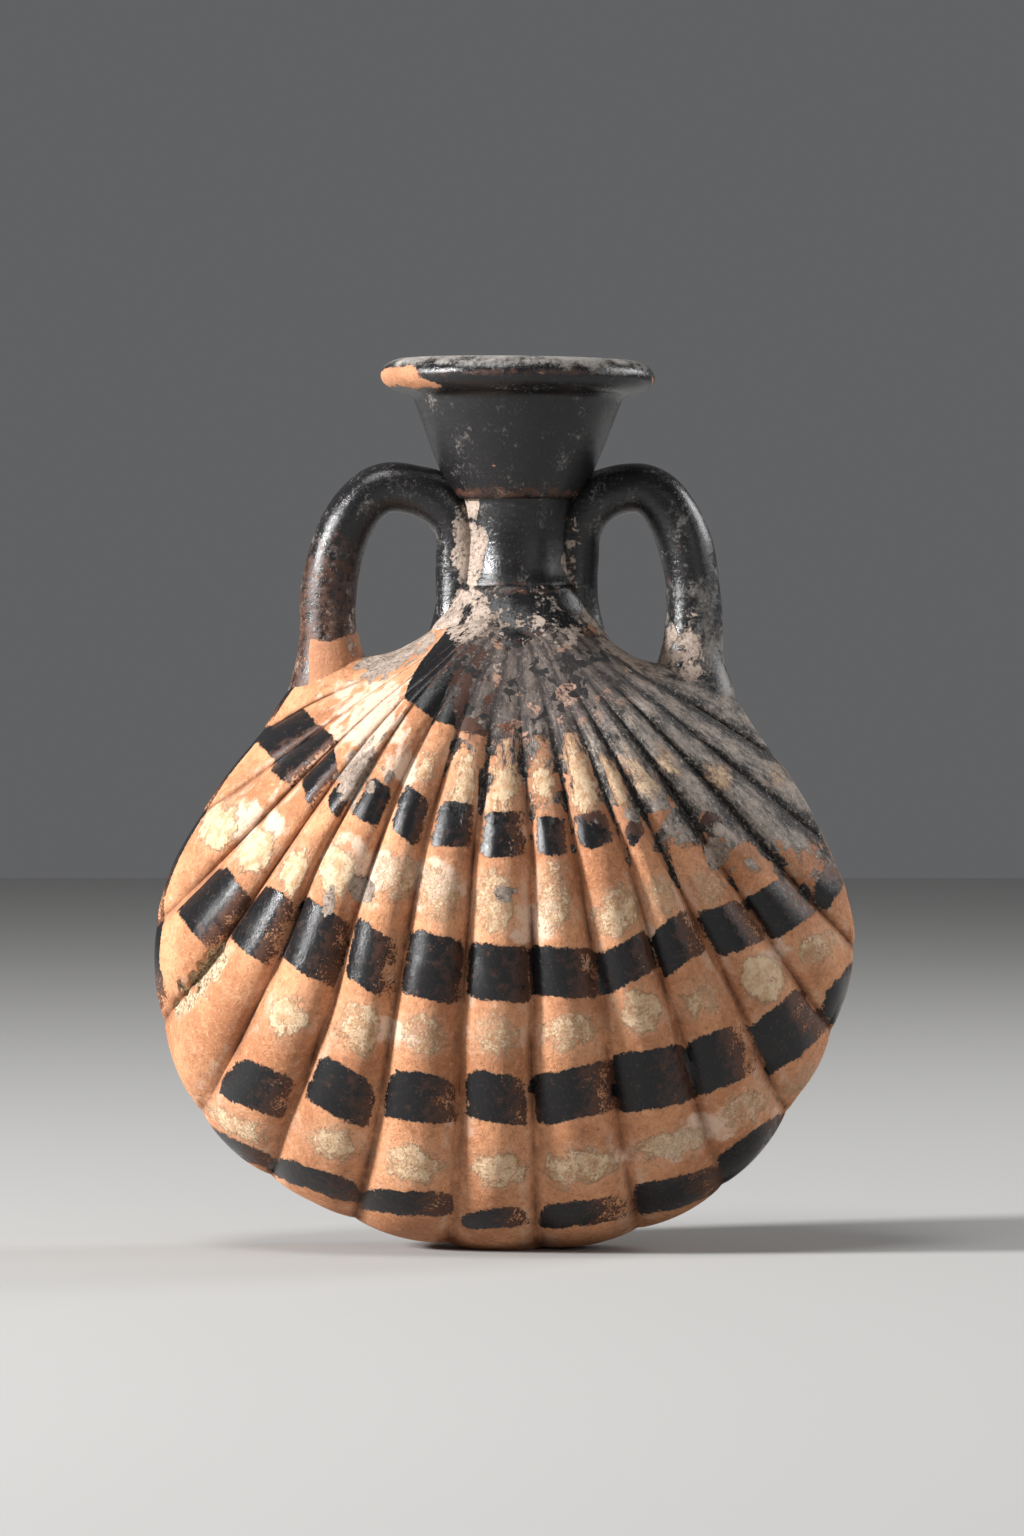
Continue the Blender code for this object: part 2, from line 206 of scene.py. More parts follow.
def outlineLevel(across, down, size):
    if down < size["widest"]:
        return (across / size["halfWidth"]) ** 2 + (1 - down / size["widest"]) ** shell["shoulderPower"]
    below = (down - size["widest"]) / (size["drop"] - size["widest"])
    return (abs(across) / size["halfWidth"]) ** shell["bellyPower"] + below ** shell["bellyPower"]


reachKnown = {}


def reach(angle, size):
    # umbo to the outline along one ray of the fan
    key = (round(angle, 7), size["lift"])
    if key not in reachKnown:
        inside, outside = 0.0, 2 * size["drop"]
        for _ in range(40):
            middle = (inside + outside) / 2
            if outlineLevel(middle * math.sin(angle), middle * math.cos(angle), size) < 1:
                inside = middle
            else:
                outside = middle
        reachKnown[key] = inside
    return reachKnown[key]


def grooveAt(ribPlace):
    # 0 on a rib's crest, 1 in the groove: round ribs with narrow grooves
    place = 2 * abs((ribPlace + 0.5) % 1.0 - 0.5)
    arc = 1 - math.sqrt(1 - shell["arcShare"] * place ** 2)
    return shell["grooveBowl"] * place ** 2 + shell["grooveArc"] * arc


def domeAt(share):
    peak = shell["domePeak"]
    if share < peak:
        return 1 - (1 - shell["umboShare"]) * ((peak - share) / peak) ** shell["domeRise"]
    out = min((share - peak) / (1 - peak), 1.0)
    power, root = shell["domeFall"]
    return (1 - out ** power) ** root


def unevenAt(ribPlace):
    return 1 + alongList(shell["uneven"], math.degrees(fanAngle(ribPlace) - shell["tilt"]))


def marginAt(ribPlace):
    even = reach(fanAngle(ribPlace), outerSize) - shell["scallop"] * grooveAt(ribPlace)
    return even * unevenAt(ribPlace)


def sweepAt(sweep, ribPlace):
    place = min(max(ribPlace + edgeRib, 0.0), shell["ribs"] - 1e-6)
    low = int(place)
    return math.radians(sweep[low] + (sweep[low + 1] - sweep[low]) * (place - low))


def shareAt(along, start):
    # rows gather towards the margin, where the dome turns down
    return start + (1 - start) * (1 - (1 - along) ** shell["rowGather"])


def headingAt(valve, ribPlace, share):
    place = min(max(ribPlace, -edgeRib), edgeRib)
    return fanAngle(place) + sweepAt(valve["sweep"], place) * (1 - share) ** 2


def scarDepth(scars, ribPlace, distance):
    # depth of the chips and knocks at a place on a valve
    depth = 0.0
    for rib, middle, halfRib, halfLong, deepest in scars:
        off = math.hypot((ribPlace - rib) / halfRib, (distance - middle) / halfLong)
        off += 0.7 * noise.noise(Vector((ribPlace * 9, distance / 1.1, rib)))
        depth = max(depth, deepest * smoothStep(1.0, 0.6, off))
    return depth


def shellPoint(ribPlace, share, size, valve, ribbed):
    side = valve["side"]
    angle = fanAngle(ribPlace)
    edge = max(1 - (angle / fanEdge) ** 2, 0.0)
    heading = headingAt(valve, ribPlace, share) - shell["tilt"]
    radius = share * (marginAt(ribPlace) if ribbed else reach(angle, size) * unevenAt(ribPlace))
    x = axisX + radius * math.sin(heading)
    z = umboZ + size["lift"] - radius * math.cos(heading)
    height = size["depth"] * domeAt(share) * edge ** shell["shoulderFall"]
    known = None
    if ribbed:
        drift = noise.noise(Vector((ribPlace * 0.9, radius / shell["driftLength"], 5.0 + side)))
        drifted = ribPlace + shell["ribDrift"] * drift * edge
        cut = grooveAt(drifted)
        firm = noise.noise(Vector((round(ribPlace) * 1.7, radius / shell["unevenLength"], 9.0 + side)))
        firm = 1 + shell["ribUneven"] * firm
        width = radius * (headingAt(valve, ribPlace + 0.5, share) - headingAt(valve, ribPlace - 0.5, share))
        relief = min(shell["ribHeight"], shell["ribSlender"] * width) * firm * cut
        relief *= smoothStep(shell["ribStart"], shell["ribFull"], radius)
        distance = math.hypot(x - axisX, z - paintTop) / mm
        place = Vector((x, side * height, z))
        uneven = handWobble(place, *shell["wobble"])
        uneven -= relief + scarDepth(valve["scars"], drifted, distance) * mm
        height += uneven * min(1.0, height / shell["ribFade"])
        known = (drifted, distance, cut, share)
    return Vector((x, side * (seamFace + height), max(z, 0.0))), known


def valveSheet(name, valve):
    # ribbed outside of one valve, with each point's rib number, distance, groove and share for painting
    known = []

    def place(across, along):
        ribPlace = (2 * across - 1) * edgeRib
        start = shell["crown"] / marginAt(ribPlace)
        point, facts = shellPoint(ribPlace, shareAt(along, start), outerSize, valve, True)
        known.append(facts)
        return point

    return gridSheet(name, shell["ribs"] * shell["columnsPerRib"], shell["rows"], place), known


def backWithWall(sheet, valve):
    # the smooth inside, joined to the ribbed outside along the seam face
    def place(across, along):
        ribPlace = (2 * across - 1) * edgeRib
        start = shell["crown"] / reach(fanAngle(ribPlace), innerSize)
        point = shellPoint(ribPlace, shareAt(along, start), innerSize, valve, False)[0]
        point.z = max(point.z, shell["wall"])
        return point

    inside = gridSheet(sheet.name + "Inside", shell["ribs"] * shell["columnsPerRib"], shell["rows"], place)
    clearSelection()
    inside.select_set(True)
    sheet.select_set(True)
    bpy.context.view_layer.objects.active = sheet
    bpy.ops.object.join()
    bpy.ops.object.mode_set(mode="EDIT")
    bpy.ops.mesh.select_mode(type="EDGE")
    bpy.ops.mesh.select_all(action="DESELECT")
    bpy.ops.mesh.select_non_manifold(extend=False)
    bpy.ops.mesh.bridge_edge_loops()
    bpy.ops.mesh.select_mode(type="VERT")
    bpy.ops.mesh.select_all(action="SELECT")
    bpy.ops.mesh.normals_make_consistent(inside=False)
    bpy.ops.object.mode_set(mode="OBJECT")
    bpy.ops.object.shade_smooth_by_angle(angle=math.radians(50))
    return sheet


# Paint on the valves. Bands and dots: rib number, and from where to where, in mm from the top of the
# fan; for dots also how much is left of them. joined: ribs whose stroke runs on over the groove.
# capEdge, film: rib number, and how far down the black cap and the dark film go in mm.
# scabs, pale: rib number, mm, half size in ribs and mm
frontPaint = {
    "black": [
        {-7: (26.6, 33.2), -6: (26.0, 33.4), -5: (27.2, 32.4), -4: (28.6, 31.4), -3: (25.6, 30.2),
         -2: (24.5, 29.6), -1: (23.8, 28.8), 0: (24.0, 28.9), 1: (24.6, 28.9), 2: (25.4, 29.1),
         3: (28.0, 30.2), 5: (31.8, 34.6)},
        {-5: (44.4, 52.2), -4: (42.1, 49.6), -3: (40.6, 47.9), -2: (40.0, 46.6), -1: (38.4, 45.6),
         0: (38.6, 44.8), 1: (39.1, 44.7), 2: (40.0, 44.6), 3: (39.6, 44.8), 4: (40.9, 46.6),
         5: (42.5, 48.2), 6: (46.0, 49.0), 7: (46.0, 49.5)},
        {-3: (59.3, 64.5), -2: (55.6, 61.1), -1: (53.8, 59.3), 0: (52.7, 58.4), 1: (52.6, 58.3),
         2: (52.2, 58.8), 3: (53.0, 59.2), 4: (53.9, 60.2), 5: (55.9, 59.7)},
        {-3: (68.6, 70.6), -2: (67.8, 70.5), -1: (67.3, 70.3), 0: (68.2, 70.7), 1: (67.7, 70.7),
         2: (67.1, 70.9), 3: (65.4, 70.5)},
    ],
    "joined": [(-7, -6, -5), (-5, -4, -3, 1, 2, 5), (1, 2, 3, 4), (-3, -2, -1, 1, 2, 3)],
    "cream": [
        {-2: (20.0, 23.0, 0.5), -1: (18.0, 24.0, 0.8), 0: (17.6, 24.4, 1.0), 1: (18.8, 24.0, 0.9),
         2: (18.8, 24.8, 1.0), 3: (20.9, 26.3, 0.9), 4: (21.2, 26.3, 0.6), 5: (23.3, 26.5, 0.6),
         6: (28.5, 31.6, 0.6), 7: (34.4, 36.5, 0.4)},
        {-6: (39.4, 44.4, 0.9), -5: (38.0, 42.8, 1.0), -4: (36.8, 41.9, 1.0), -3: (34.2, 38.8, 0.8),
         -2: (31.5, 36.5, 0.45), -1: (31.0, 37.0, 0.40), 0: (31.0, 36.5, 0.55), 1: (31.0, 36.5, 0.5),
         2: (34.0, 39.0, 0.55), 3: (35.0, 38.6, 0.4), 4: (36.0, 40.2, 0.35)},
        {-3: (50.8, 55.6, 0.80), -2: (48.2, 53.6, 0.55), -1: (47.2, 51.6, 0.45),
         0: (46.4, 51.0, 0.45), 1: (46.2, 50.6, 0.55), 2: (45.9, 50.0, 0.70), 3: (47.3, 50.5, 0.45),
         4: (48.0, 53.2, 0.95), 5: (50.0, 53.0, 0.5)},
        {-3: (65.6, 68.0, 0.6), -2: (62.6, 66.0, 0.7), -1: (62.0, 66.0, 0.75), 0: (61.6, 65.8, 0.75),
         1: (61.8, 65.6, 0.65), 2: (61.8, 65.0, 0.55), 3: (61.0, 64.0, 0.4), 4: (62.0, 64.0, 0.3)},
    ],
    "edge": (-8.5, -4.6, 0.980),          # from which rib to which the margin is black, and from where
    "capEdge": [(-8, 8), (-6.6, 12), (-4.5, 17.2), (-3, 16.7), (-0.7, 16.2), (1, 15.6), (3, 16.8),
                (4.2, 19.2), (6, 21.0), (8, 19.0)],
    "film": [(-6.5, 0), (-5.0, 8), (-3.6, 11.5), (-2.4, 14), (-1.4, 18), (-0.6, 21.5), (0.5, 24),
             (1.5, 26), (2.5, 29), (3.4, 33), (4.3, 35), (5, 41), (6, 49), (7, 51), (8.5, 46)],
    "scabs": [(-3.9, 26.4, 0.85, 4.6), (-2.9, 24.6, 0.2, 1.2), (-2.5, 36.5, 0.3, 2.0),
              (-3.0, 39.6, 0.12, 2.4), (0.1, 33.0, 0.2, 1.8), (-7.9, 15.0, 1.3, 6.0),
              (8.2, 13.0, 0.8, 5.0), (4.6, 36.0, 0.3, 2.4)],
    "pale": [(-5.2, 21.0, 3.0, 6.5), (-5.6, 39.0, 0.9, 4.5), (-2.6, 34.5, 0.9, 4.0), (-1.2, 33.0, 0.7, 3.0),
             (-2.6, 23.0, 0.8, 3.0), (4.4, 49.0, 0.5, 2.5), (2.6, 41.0, 0.4, 2.4), (-1.5, 50.0, 0.5, 2.4),
             (0.6, 36.0, 0.7, 3.0), (2.4, 63.0, 1.0, 2.4)],
}
backPaint = {
    "black": [{k: (25.0 + 0.10 * k * k, 29.8 + 0.10 * k * k) for k in range(-6, 7)},
              {k: (39.0 + 0.16 * k * k, 45.2 + 0.18 * k * k) for k in range(-6, 7)},
              {k: (53.0 + 0.20 * k * k, 58.8 + 0.22 * k * k) for k in range(-4, 5)},
              {k: (67.2 - 0.10 * k * k, 70.5 - 0.05 * k * k) for k in range(-3, 4)}],
    "joined": [(-6, -5, 3, 4), (-4, -3, 0, 1, 4, 5), (-3, -2, 2, 3), (-2, -1, 1)],
    "cream": [{k: (18.6 + 0.10 * k * k, 24.0 + 0.10 * k * k, 0.8) for k in range(-5, 6)},
              {k: (31.6 + 0.12 * k * k, 37.2 + 0.14 * k * k, 0.7) for k in range(-6, 7)},
              {k: (47.0 + 0.18 * k * k, 51.4 + 0.20 * k * k, 0.6) for k in range(-4, 5)},
              {k: (61.4 + 0.10 * k * k, 65.8 + 0.06 * k * k, 0.8) for k in range(-3, 4)}],
    "edge": (4.0, 8.5, 0.985),
    "capEdge": [(-8, 14), (-4, 17.5), (0, 16.2), (4, 17.2), (8, 14)],
    "film": [(-8.5, 26), (-6, 24), (-4, 12), (-3, 0), (8.5, 0)],
    "scabs": [(5.0, 22.0, 1.6, 6.0), (-1.5, 34.0, 0.4, 2.4)],
    "pale": [(3.0, 36.0, 2.0, 8.0), (-4.0, 50.0, 1.5, 7.0)],
}
# widths of strokes and dots against their rib's, slants in mm across a rib; one entry for each band
brush = {
    "joined": (1.04, 1.16), "apart": [(0.68, 0.80), (0.86, 0.98), (0.78, 0.90), (0.84, 0.96)],
    "slant": 1.6, "cornerGrow": 0.05, "corner": 0.7,    # upper corners are rounder further down
    "dotWidth": (0.29, 0.36, 0.33, 0.34), "dotFill": (0.75, 1.15), "dotShift": 0.09,
    "middle": (27, 43, 57, 69), "thin": (0.12, 0.16, 0.14, 0.16), "worn": 0.8,
    "filmInGroove": 8.5, "filmBack": 1.5,               # the film runs further down in the grooves
}


def softLeast(a, b, ease):
    h = max(ease - abs(a - b), 0.0) / ease
    return min(a, b) - h * h * ease / 4


def strokeField(bands, ribPlace, distance, fills, slants):
    # mm inside the nearest stroke, negative outside
    best = -3.0
    width = distance * shell["pitch"]
    rib = round(ribPlace)
    for number, band in enumerate(bands):
        if rib in band:
            off = ribPlace - rib
            along = distance - slants[number, rib] * off
            side = width * (0.5 * fills[number, rib] - abs(off))
            low, high = band[rib]
            upper = softLeast(side, along - low, brush["cornerGrow"] * distance - brush["corner"])
            best = max(best, softLeast(upper, high - along, brush["corner"]))
    return best


def dotField(bands, ribPlace, distance, fills, shifts):
    # mm inside the nearest dot, and how much is left of that dot
    best, left = -3.0, 0.0
    width = distance * shell["pitch"]
    rib = round(ribPlace)
    for number, band in enumerate(bands):
        if rib in band:
            low, high, strength = band[rib]
            half = (high - low) / 2
            wide = width * brush["dotWidth"][number] * fills[number, rib]
            across = (ribPlace - rib - shifts[number, rib]) * width / wide
            off = math.hypot(across, (distance - low - half) / half)
            if (1 - off) * min(half, wide) > best:
                best, left = (1 - off) * min(half, wide), strength
    return best, left


def patchField(patches, ribPlace, distance):
    # 1 in the middle of a patch, 0 at its edge, negative outside
    best = -1.0
    for rib, middle, halfRib, halfLong in patches:
        off = math.hypot((ribPlace - rib) / halfRib, (distance - middle) / halfLong)
        off += 0.6 * noise.noise(Vector((ribPlace * 4, distance / 1.3, rib)))
        best = max(best, 1 - off)
    return best


def paintValve(sheet, known, valve, paint):
    strokes = [(n, k) for n in range(4) for k in range(-9, 10)]
    fills = {(n, k): dice.uniform(*(brush["joined"] if k in paint["joined"][n] else brush["apart"][n]))
             for n, k in strokes}
    slants = {stroke: dice.uniform(-brush["slant"], brush["slant"]) for stroke in strokes}
    dotFills = {stroke: dice.uniform(*brush["dotFill"]) for stroke in strokes}
    dotShifts = {stroke: dice.uniform(-brush["dotShift"], brush["dotShift"]) for stroke in strokes}
    worn = {stroke: dice.uniform(0.0, brush["worn"]) ** 1.4 for stroke in strokes}
    edgeFirst, edgeLast, edgeInner = paint["edge"]
    rows = []
    for ribPlace, distance, cut, share in known:
        rib = round(ribPlace)
        band = min(range(4), key=lambda n: abs(distance - brush["middle"][n]))
        cap = alongList(paint["capEdge"], ribPlace) - distance
        black = max(strokeField(paint["black"], ribPlace, distance, fills, slants), cap)
        if edgeFirst < ribPlace < edgeLast:
            ragged = 0.9 * noise.noise(Vector((ribPlace * 2, 3.0, 0.0)))
            black = max(black, (share - edgeInner) * 80 + ragged)
        cream, kept = dotField(paint["cream"], ribPlace, distance, dotFills, dotShifts)
        onRight = smoothStep(-0.15, 0.5, ribPlace - rib)    # strokes are thinner and more worn there
        thin = brush["thin"][band] + onRight * (0.55 + worn[band, rib])
        wear = 0.14 + onRight * (0.26 + 0.9 * worn[band, rib])
        if cap > -2:                                        # the cap is worn from its middle on
            thin = 0.10 + 0.75 * smoothStep(-1.6, -0.4, ribPlace)
            wear = 0.06 + 0.50 * smoothStep(-1.4, 0.2, ribPlace)
        film = alongList(paint["film"], ribPlace) - distance
        crust = (0.40 + 0.35 * smoothStep(1.5, 5.0, abs(ribPlace - 1))) * smoothStep(11.5, 8.0, distance)
        scab = smoothStep(-0.2, 0.5, patchField(paint["scabs"], ribPlace, distance))
        rows.append({
            "black": black, "cream": cream, "kept": kept,
            "film": film + brush["filmInGroove"] * cut ** 2 - brush["filmBack"],
            "wear": wear, "thin": thin, "crust": max(crust, scab),
            "pale": max(patchField(paint["pale"], ribPlace, distance), 0.0),
            "scar": scarDepth(valve["scars"], ribPlace, distance),
            "groove": cut, "rib": ribPlace, "down": distance,
        })
    storeFields(sheet, rows)


pieces = {}
for node, valve, paint in (("front_valve", frontValve, frontPaint), ("back_valve", backValve, backPaint)):
    sheet, known = valveSheet(node + "Fired", valve)
    paintValve(sheet, known, valve, paint)
    pieces[node] = backWithWall(sheet, valve)
    print(node, "modelled:", len(pieces[node].data.polygons), "faces")


# Seam strip
strip = {"halfWidth": 1.95 * mm, "bulge": 0.10 * mm, "sink": 0.04 * mm, "wobble": (4 * mm, 0.08 * mm),
         "shoulderColumns": 60, "fanColumns": 340,
         "section": [(1.0, 0.0), (0.6, 0.7), (0.0, 1.0), (-0.6, 0.7), (-1.0, 0.0)]}


def stripPath():
    # out along one shoulder, round the margin and back along the other
    shoulder = [shell["crown"] + (marginAt(-edgeRib) - shell["crown"]) * s
                for s in steps(strip["shoulderColumns"])]
    ends = [(-edgeRib, r) for r in shoulder[:-1]]
    fan = [(-edgeRib + 2 * edgeRib * s, None) for s in steps(strip["fanColumns"])]
    return ends + fan + [(edgeRib, r) for r in reversed(shoulder[:-1])]


def stripPoint(ribPlace, radius):
    heading = fanAngle(ribPlace) - shell["tilt"]
    radius = marginAt(ribPlace) if radius is None else radius
    return Vector((axisX + radius * math.sin(heading), 0.0, umboZ - radius * math.cos(heading)))


def makeStrip():
    path = stripPath()
    middle = [stripPoint(rib, radius) for rib, radius in path]
    outward = []
    for i in range(len(middle)):
        run = middle[min(i + 1, len(middle) - 1)] - middle[max(i - 1, 0)]
        outward.append(Vector((-run.z, 0.0, run.x)).normalized() * -1)
    half, wall = strip["halfWidth"], shell["wall"]
    loop = [(y * half, out * strip["bulge"] - strip["sink"]) for y, out in strip["section"]]
    loop += [(-half, -wall), (half, -wall)]

    def place(across, along):
        i = round(along * (len(middle) - 1))
        y, out = loop[round(across * len(loop)) % len(loop)]
        point = middle[i] + outward[i] * out
        point.y = y
        point += outward[i] * handWobble(point, strip["wobble"])
        point.z = max(point.z, 0.0)
        return point

    piece = gridSheet("seamStripFired", len(loop), len(middle) - 1, place)
    closeUp(piece)
    bpy.ops.object.shade_smooth_by_angle(angle=math.radians(50))
    return piece


pieces["seam_strip"] = makeStrip()
print("seam strip modelled")


# Turned pieces: mouth, neck and collar
mouth = {"footRadius": 7.1 * mm, "topRadius": 11.8 * mm, "wall": 2.2 * mm, "floor": 3.0 * mm,
         "flare": 0.85, "lipRadius": 15.4 * mm, "lipHeight": 3.9 * mm, "lipRoll": 3.0 * mm,
         "brimFlare": 1.7 * mm, "undercut": 0.6 * mm, "bore": 3.6 * mm, "socket": 5.0 * mm, "lean": 0.012,
         "bed": 0.35 * mm, "chamfer": 0.3 * mm}    # at the foot, in the joint
neck = {"radius": 5.6 * mm, "flare": 0.6 * mm, "spigot": 5.2 * mm, "tongue": 0.6 * mm, "step": 0.2 * mm}
collar = {"topRadius": 6.4 * mm, "footRadius": 11.6 * mm, "drop": 8.6 * mm, "hollow": 1.15,
          "lap": 0.05 * mm}                  # how far it goes up over the neck's foot
ringVertices = 128
turnedWobble = {"mouth": (7 * mm, 0.14 * mm), "neck": (6 * mm, 0.10 * mm),
                "shoulder_collar": (4 * mm, 0.25 * mm)}
boreWall = 5.3 * mm                          # the bore and the spigot stay round within this radius


def wallRadius(z):
    top = rim - mouth["lipHeight"] - mouth["undercut"]
    rise = min(max((z - mouthFoot) / (top - mouthFoot), 0.0), 1.0)
    return mouth["footRadius"] + (mouth["topRadius"] - mouth["footRadius"]) * rise ** mouth["flare"]


def mouthProfile():
    half = mouth["lipHeight"] / 2
    edge = mouth["lipRadius"] - mouth["lipRoll"]
    profile = [(edge + mouth["lipRoll"] * math.sin(math.pi * s), rim - half + half * math.cos(math.pi * s))
               for s in steps(22)]
    top = rim - mouth["lipHeight"] - mouth["undercut"]
    profile += [(wallRadius(top + (mouthFoot - top) * s), top + (mouthFoot - top) * s) for s in steps(30)]
    foot, opening, brim = mouthFoot - mouth["bed"], mouthFoot + mouth["floor"], rim - mouth["lipHeight"] / 4
    profile += [(mouth["footRadius"] - mouth["chamfer"], foot), (mouth["bore"], foot)]
    for s in steps(24):
        z = opening + (brim - opening) * s
        bowl = wallRadius(z) - mouth["wall"] + mouth["brimFlare"] * smoothStep(0.85, 1.0, s)
        profile.append((mouth["bore"] + (bowl - mouth["bore"]) * s ** 0.5, z))
    return profile


def neckProfile():
    top, foot = mouthFoot, neckFoot
    profile = [(mouth["bore"], top + neck["tongue"]), (mouth["socket"], top + neck["tongue"])]
    profile += [(neck["radius"] + neck["flare"] * (2 * s - 1) ** 2, top + (foot - top) * s)
                for s in steps(28)]
    profile += [(neck["spigot"], foot - neck["step"]), (neck["spigot"], umboZ - spigotLength)]
    return profile + [(mouth["bore"], umboZ - spigotLength)]


def collarProfile():
    top = neckFoot + collar["lap"]
    profile = [(neck["spigot"], top)]
    for s in steps(18):
        out = collar["topRadius"] + (collar["footRadius"] - collar["topRadius"]) * s ** collar["hollow"]
        profile.append((out, top - collar["drop"] * s))
    return profile + [(neck["spigot"], top - collar["drop"])]


def roughen(piece, size, depth):
    for vertex in piece.data.vertices:
        away = Vector((vertex.co.x - axisX, vertex.co.y, 0.0))
        if away.length > boreWall:
            push = handWobble(vertex.co, (size, depth), (size / 3.5, depth / 3))
            vertex.co += away.normalized() * push


pieces["mouth"] = turnRings("mouthFired", mouthProfile(), ringVertices)
for vertex in pieces["mouth"].data.vertices:
    vertex.co.z -= (vertex.co.x - axisX) * mouth["lean"] * smoothStep(mouthFoot, rim, vertex.co.z)
pieces["neck"] = turnRings("neckFired", neckProfile(), ringVertices)
pieces["shoulder_collar"] = turnRings("shoulderCollarFired", collarProfile(), ringVertices)
for node, (size, depth) in turnedWobble.items():
    roughen(pieces[node], size, depth)
print("mouth, neck and collar turned")


# Handles
handles = {"reach": {-1: 21.4 * mm, 1: 19.9 * mm}, "radius": 3.2 * mm, "deep": 1.1, "taper": 0.62,
           "ease": 2.2, "strapSet": 1.2 * mm, "rise": 1.0 * mm, "innerDrop": 6.3 * mm,
           "outerDrop": 14.2 * mm, "legSink": 4.0 * mm, "strapSink": 5.0 * mm, "around": 44, "rings": 150,
           "wobble": [(6 * mm, 0.20 * mm), (2.2 * mm, 0.05 * mm)]}


def handlePath(side):
    distance = handles["reach"][side]
    strapX = neck["radius"] + handles["strapSet"]
    archX, half = (strapX + distance) / 2, (distance - strapX) / 2
    top = mouthFoot + handles["rise"]
    legTop, strapTop = top - handles["outerDrop"], top - handles["innerDrop"]
    legEnd = umboZ - distance / math.tan(fanEdge + side * shell["tilt"]) - handles["legSink"]
    path = [(distance, legEnd + (legTop - legEnd) * s) for s in steps(20)]
    quarter = [math.pi / 2 * s for s in steps(40)[1:]]
    path += [(archX + half * math.cos(a), legTop + (top - legTop) * math.sin(a)) for a in quarter]
    path += [(archX - half * math.sin(a), strapTop + (top - strapTop) * math.cos(a)) for a in quarter]
    strapEnd = neckFoot - handles["strapSink"]
    path += [(strapX, strapTop + (strapEnd - strapTop) * s) for s in steps(20)[1:]]
    return [Vector((axisX + side * x, 0.0, z)) for x, z in path]


def evenly(path, count):
    # points at equal distances along a path
    lengths = [0.0]
    for a, b in zip(path, path[1:]):
        lengths.append(lengths[-1] + (b - a).length)
    points, i = [], 0
    for s in steps(count):
        want = s * lengths[-1]
        while i < len(path) - 2 and lengths[i + 1] < want:
            i += 1
        points.append(path[i].lerp(path[i + 1], (want - lengths[i]) / (lengths[i + 1] - lengths[i])))
    return points


def makeHandle(name, side):
    middle = evenly(handlePath(side), handles["rings"])
    along = [(middle[min(i + 1, len(middle) - 1)] - middle[max(i - 1, 0)]).normalized()
             for i in range(len(middle))]

    def place(across, share):
        i = round(share * handles["rings"])
        turn = 2 * math.pi * across
        flat = Vector((0.0, 1.0, 0.0)).cross(along[i])
        radius = handles["radius"] * (1 + (handles["taper"] - 1) * share ** handles["ease"])
        ring = flat * math.cos(turn) + Vector((0.0, handles["deep"] * math.sin(turn), 0.0))
        point = middle[i] + ring * radius
        return point + ring * handWobble(point, *handles["wobble"])

    piece = gridSheet(name, handles["around"], handles["rings"], place)
    closeUp(piece)
    return piece


pieces["left_handle"] = makeHandle("leftHandleFired", -1)
pieces["right_handle"] = makeHandle("rightHandleFired", 1)
print("handles rolled")


# Joints: each piece swells towards the piece it was smeared onto
handleJoints = [(("front_valve", "back_valve", "seam_strip"), 6.0 * mm),
                (("neck", "mouth", "shoulder_collar"), 2.6 * mm)]
valveJoints = [(("left_handle", "right_handle"), 6.0 * mm), (("shoulder_collar",), 4.0 * mm)]
jointEase = {
    "left_handle": handleJoints, "right_handle": handleJoints,
    "front_valve": valveJoints, "back_valve": valveJoints,
    "shoulder_collar": [(("front_valve", "back_valve"), 4.0 * mm),
                        (("left_handle", "right_handle"), 3.0 * mm), (("neck",), 1.4 * mm)],
    "neck": [(("left_handle", "right_handle"), 2.2 * mm), (("shoulder_collar",), 2.0 * mm)],
}


def evenOut(mesh, values, rounds):
    # averages a value over neighbouring points
    ends = np.array([edge.vertices[:] for edge in mesh.edges])
    share = np.bincount(ends.ravel(), minlength=len(values))
    for _ in range(rounds):
        total = np.bincount(ends[:, 0], values[ends[:, 1]], len(values))
        total += np.bincount(ends[:, 1], values[ends[:, 0]], len(values))
        values = (values + total) / (1 + share)
    return values


def smearJoints():
    trees = {}
    for node, piece in pieces.items():
        points = [vertex.co.copy() for vertex in piece.data.vertices]
        trees[node] = BVHTree.FromPolygons(points, [list(face.vertices) for face in piece.data.polygons])
    for node, joints in jointEase.items():
        mesh = pieces[node].data
        swells = []
        for vertex in mesh.vertices:
            swell = 0.0
            for others, ease in joints:
                for other in others:
                    found, _, _, gap = trees[other].find_nearest(vertex.co, ease)
                    if found is not None:
                        swell = max(swell, ease / 4 * (1 - gap / ease) ** 2)
            swells.append(swell)
        swells = evenOut(mesh, np.array(swells), 10)
        moves = [vertex.normal * swell for vertex, swell in zip(mesh.vertices, swells)]
        for vertex, move in zip(mesh.vertices, moves):
            vertex.co += move


smearJoints()
print("joints smeared")

# Marks on the glazed pieces: turn round the axis in degrees (0 to the front, negative to the left),
# height in mm, half width in degrees, half height in mm
bareMarks = {
    "mouth": [(-65, 97.9, 20, 1.1), (-50, 97.0, 11, 0.55), (76, 97.4, 4, 0.5), (-18, 87.9, 2.4, 0.40),
              (140, 98.0, 22, 1.2), (-150, 97.4, 16, 1.0)],
    "neck": [(180, 76.0, 12, 0.7)],
    "shoulder_collar": [(60, 69.6, 6, 0.5)],
}
thinMarks = {
    "mouth": [(-10, 84.9, 120, 0.8), (180, 85.0, 90, 0.8), (0, 98.1, 95, 0.4)],
    "neck": [(0, 74.5, 110, 0.5), (180, 74.4, 90, 0.6)],
    "shoulder_collar": [(20, 73.9, 80, 0.4), (40, 68.5, 40, 1.6), (180, 71.0, 60, 2.0)],
}
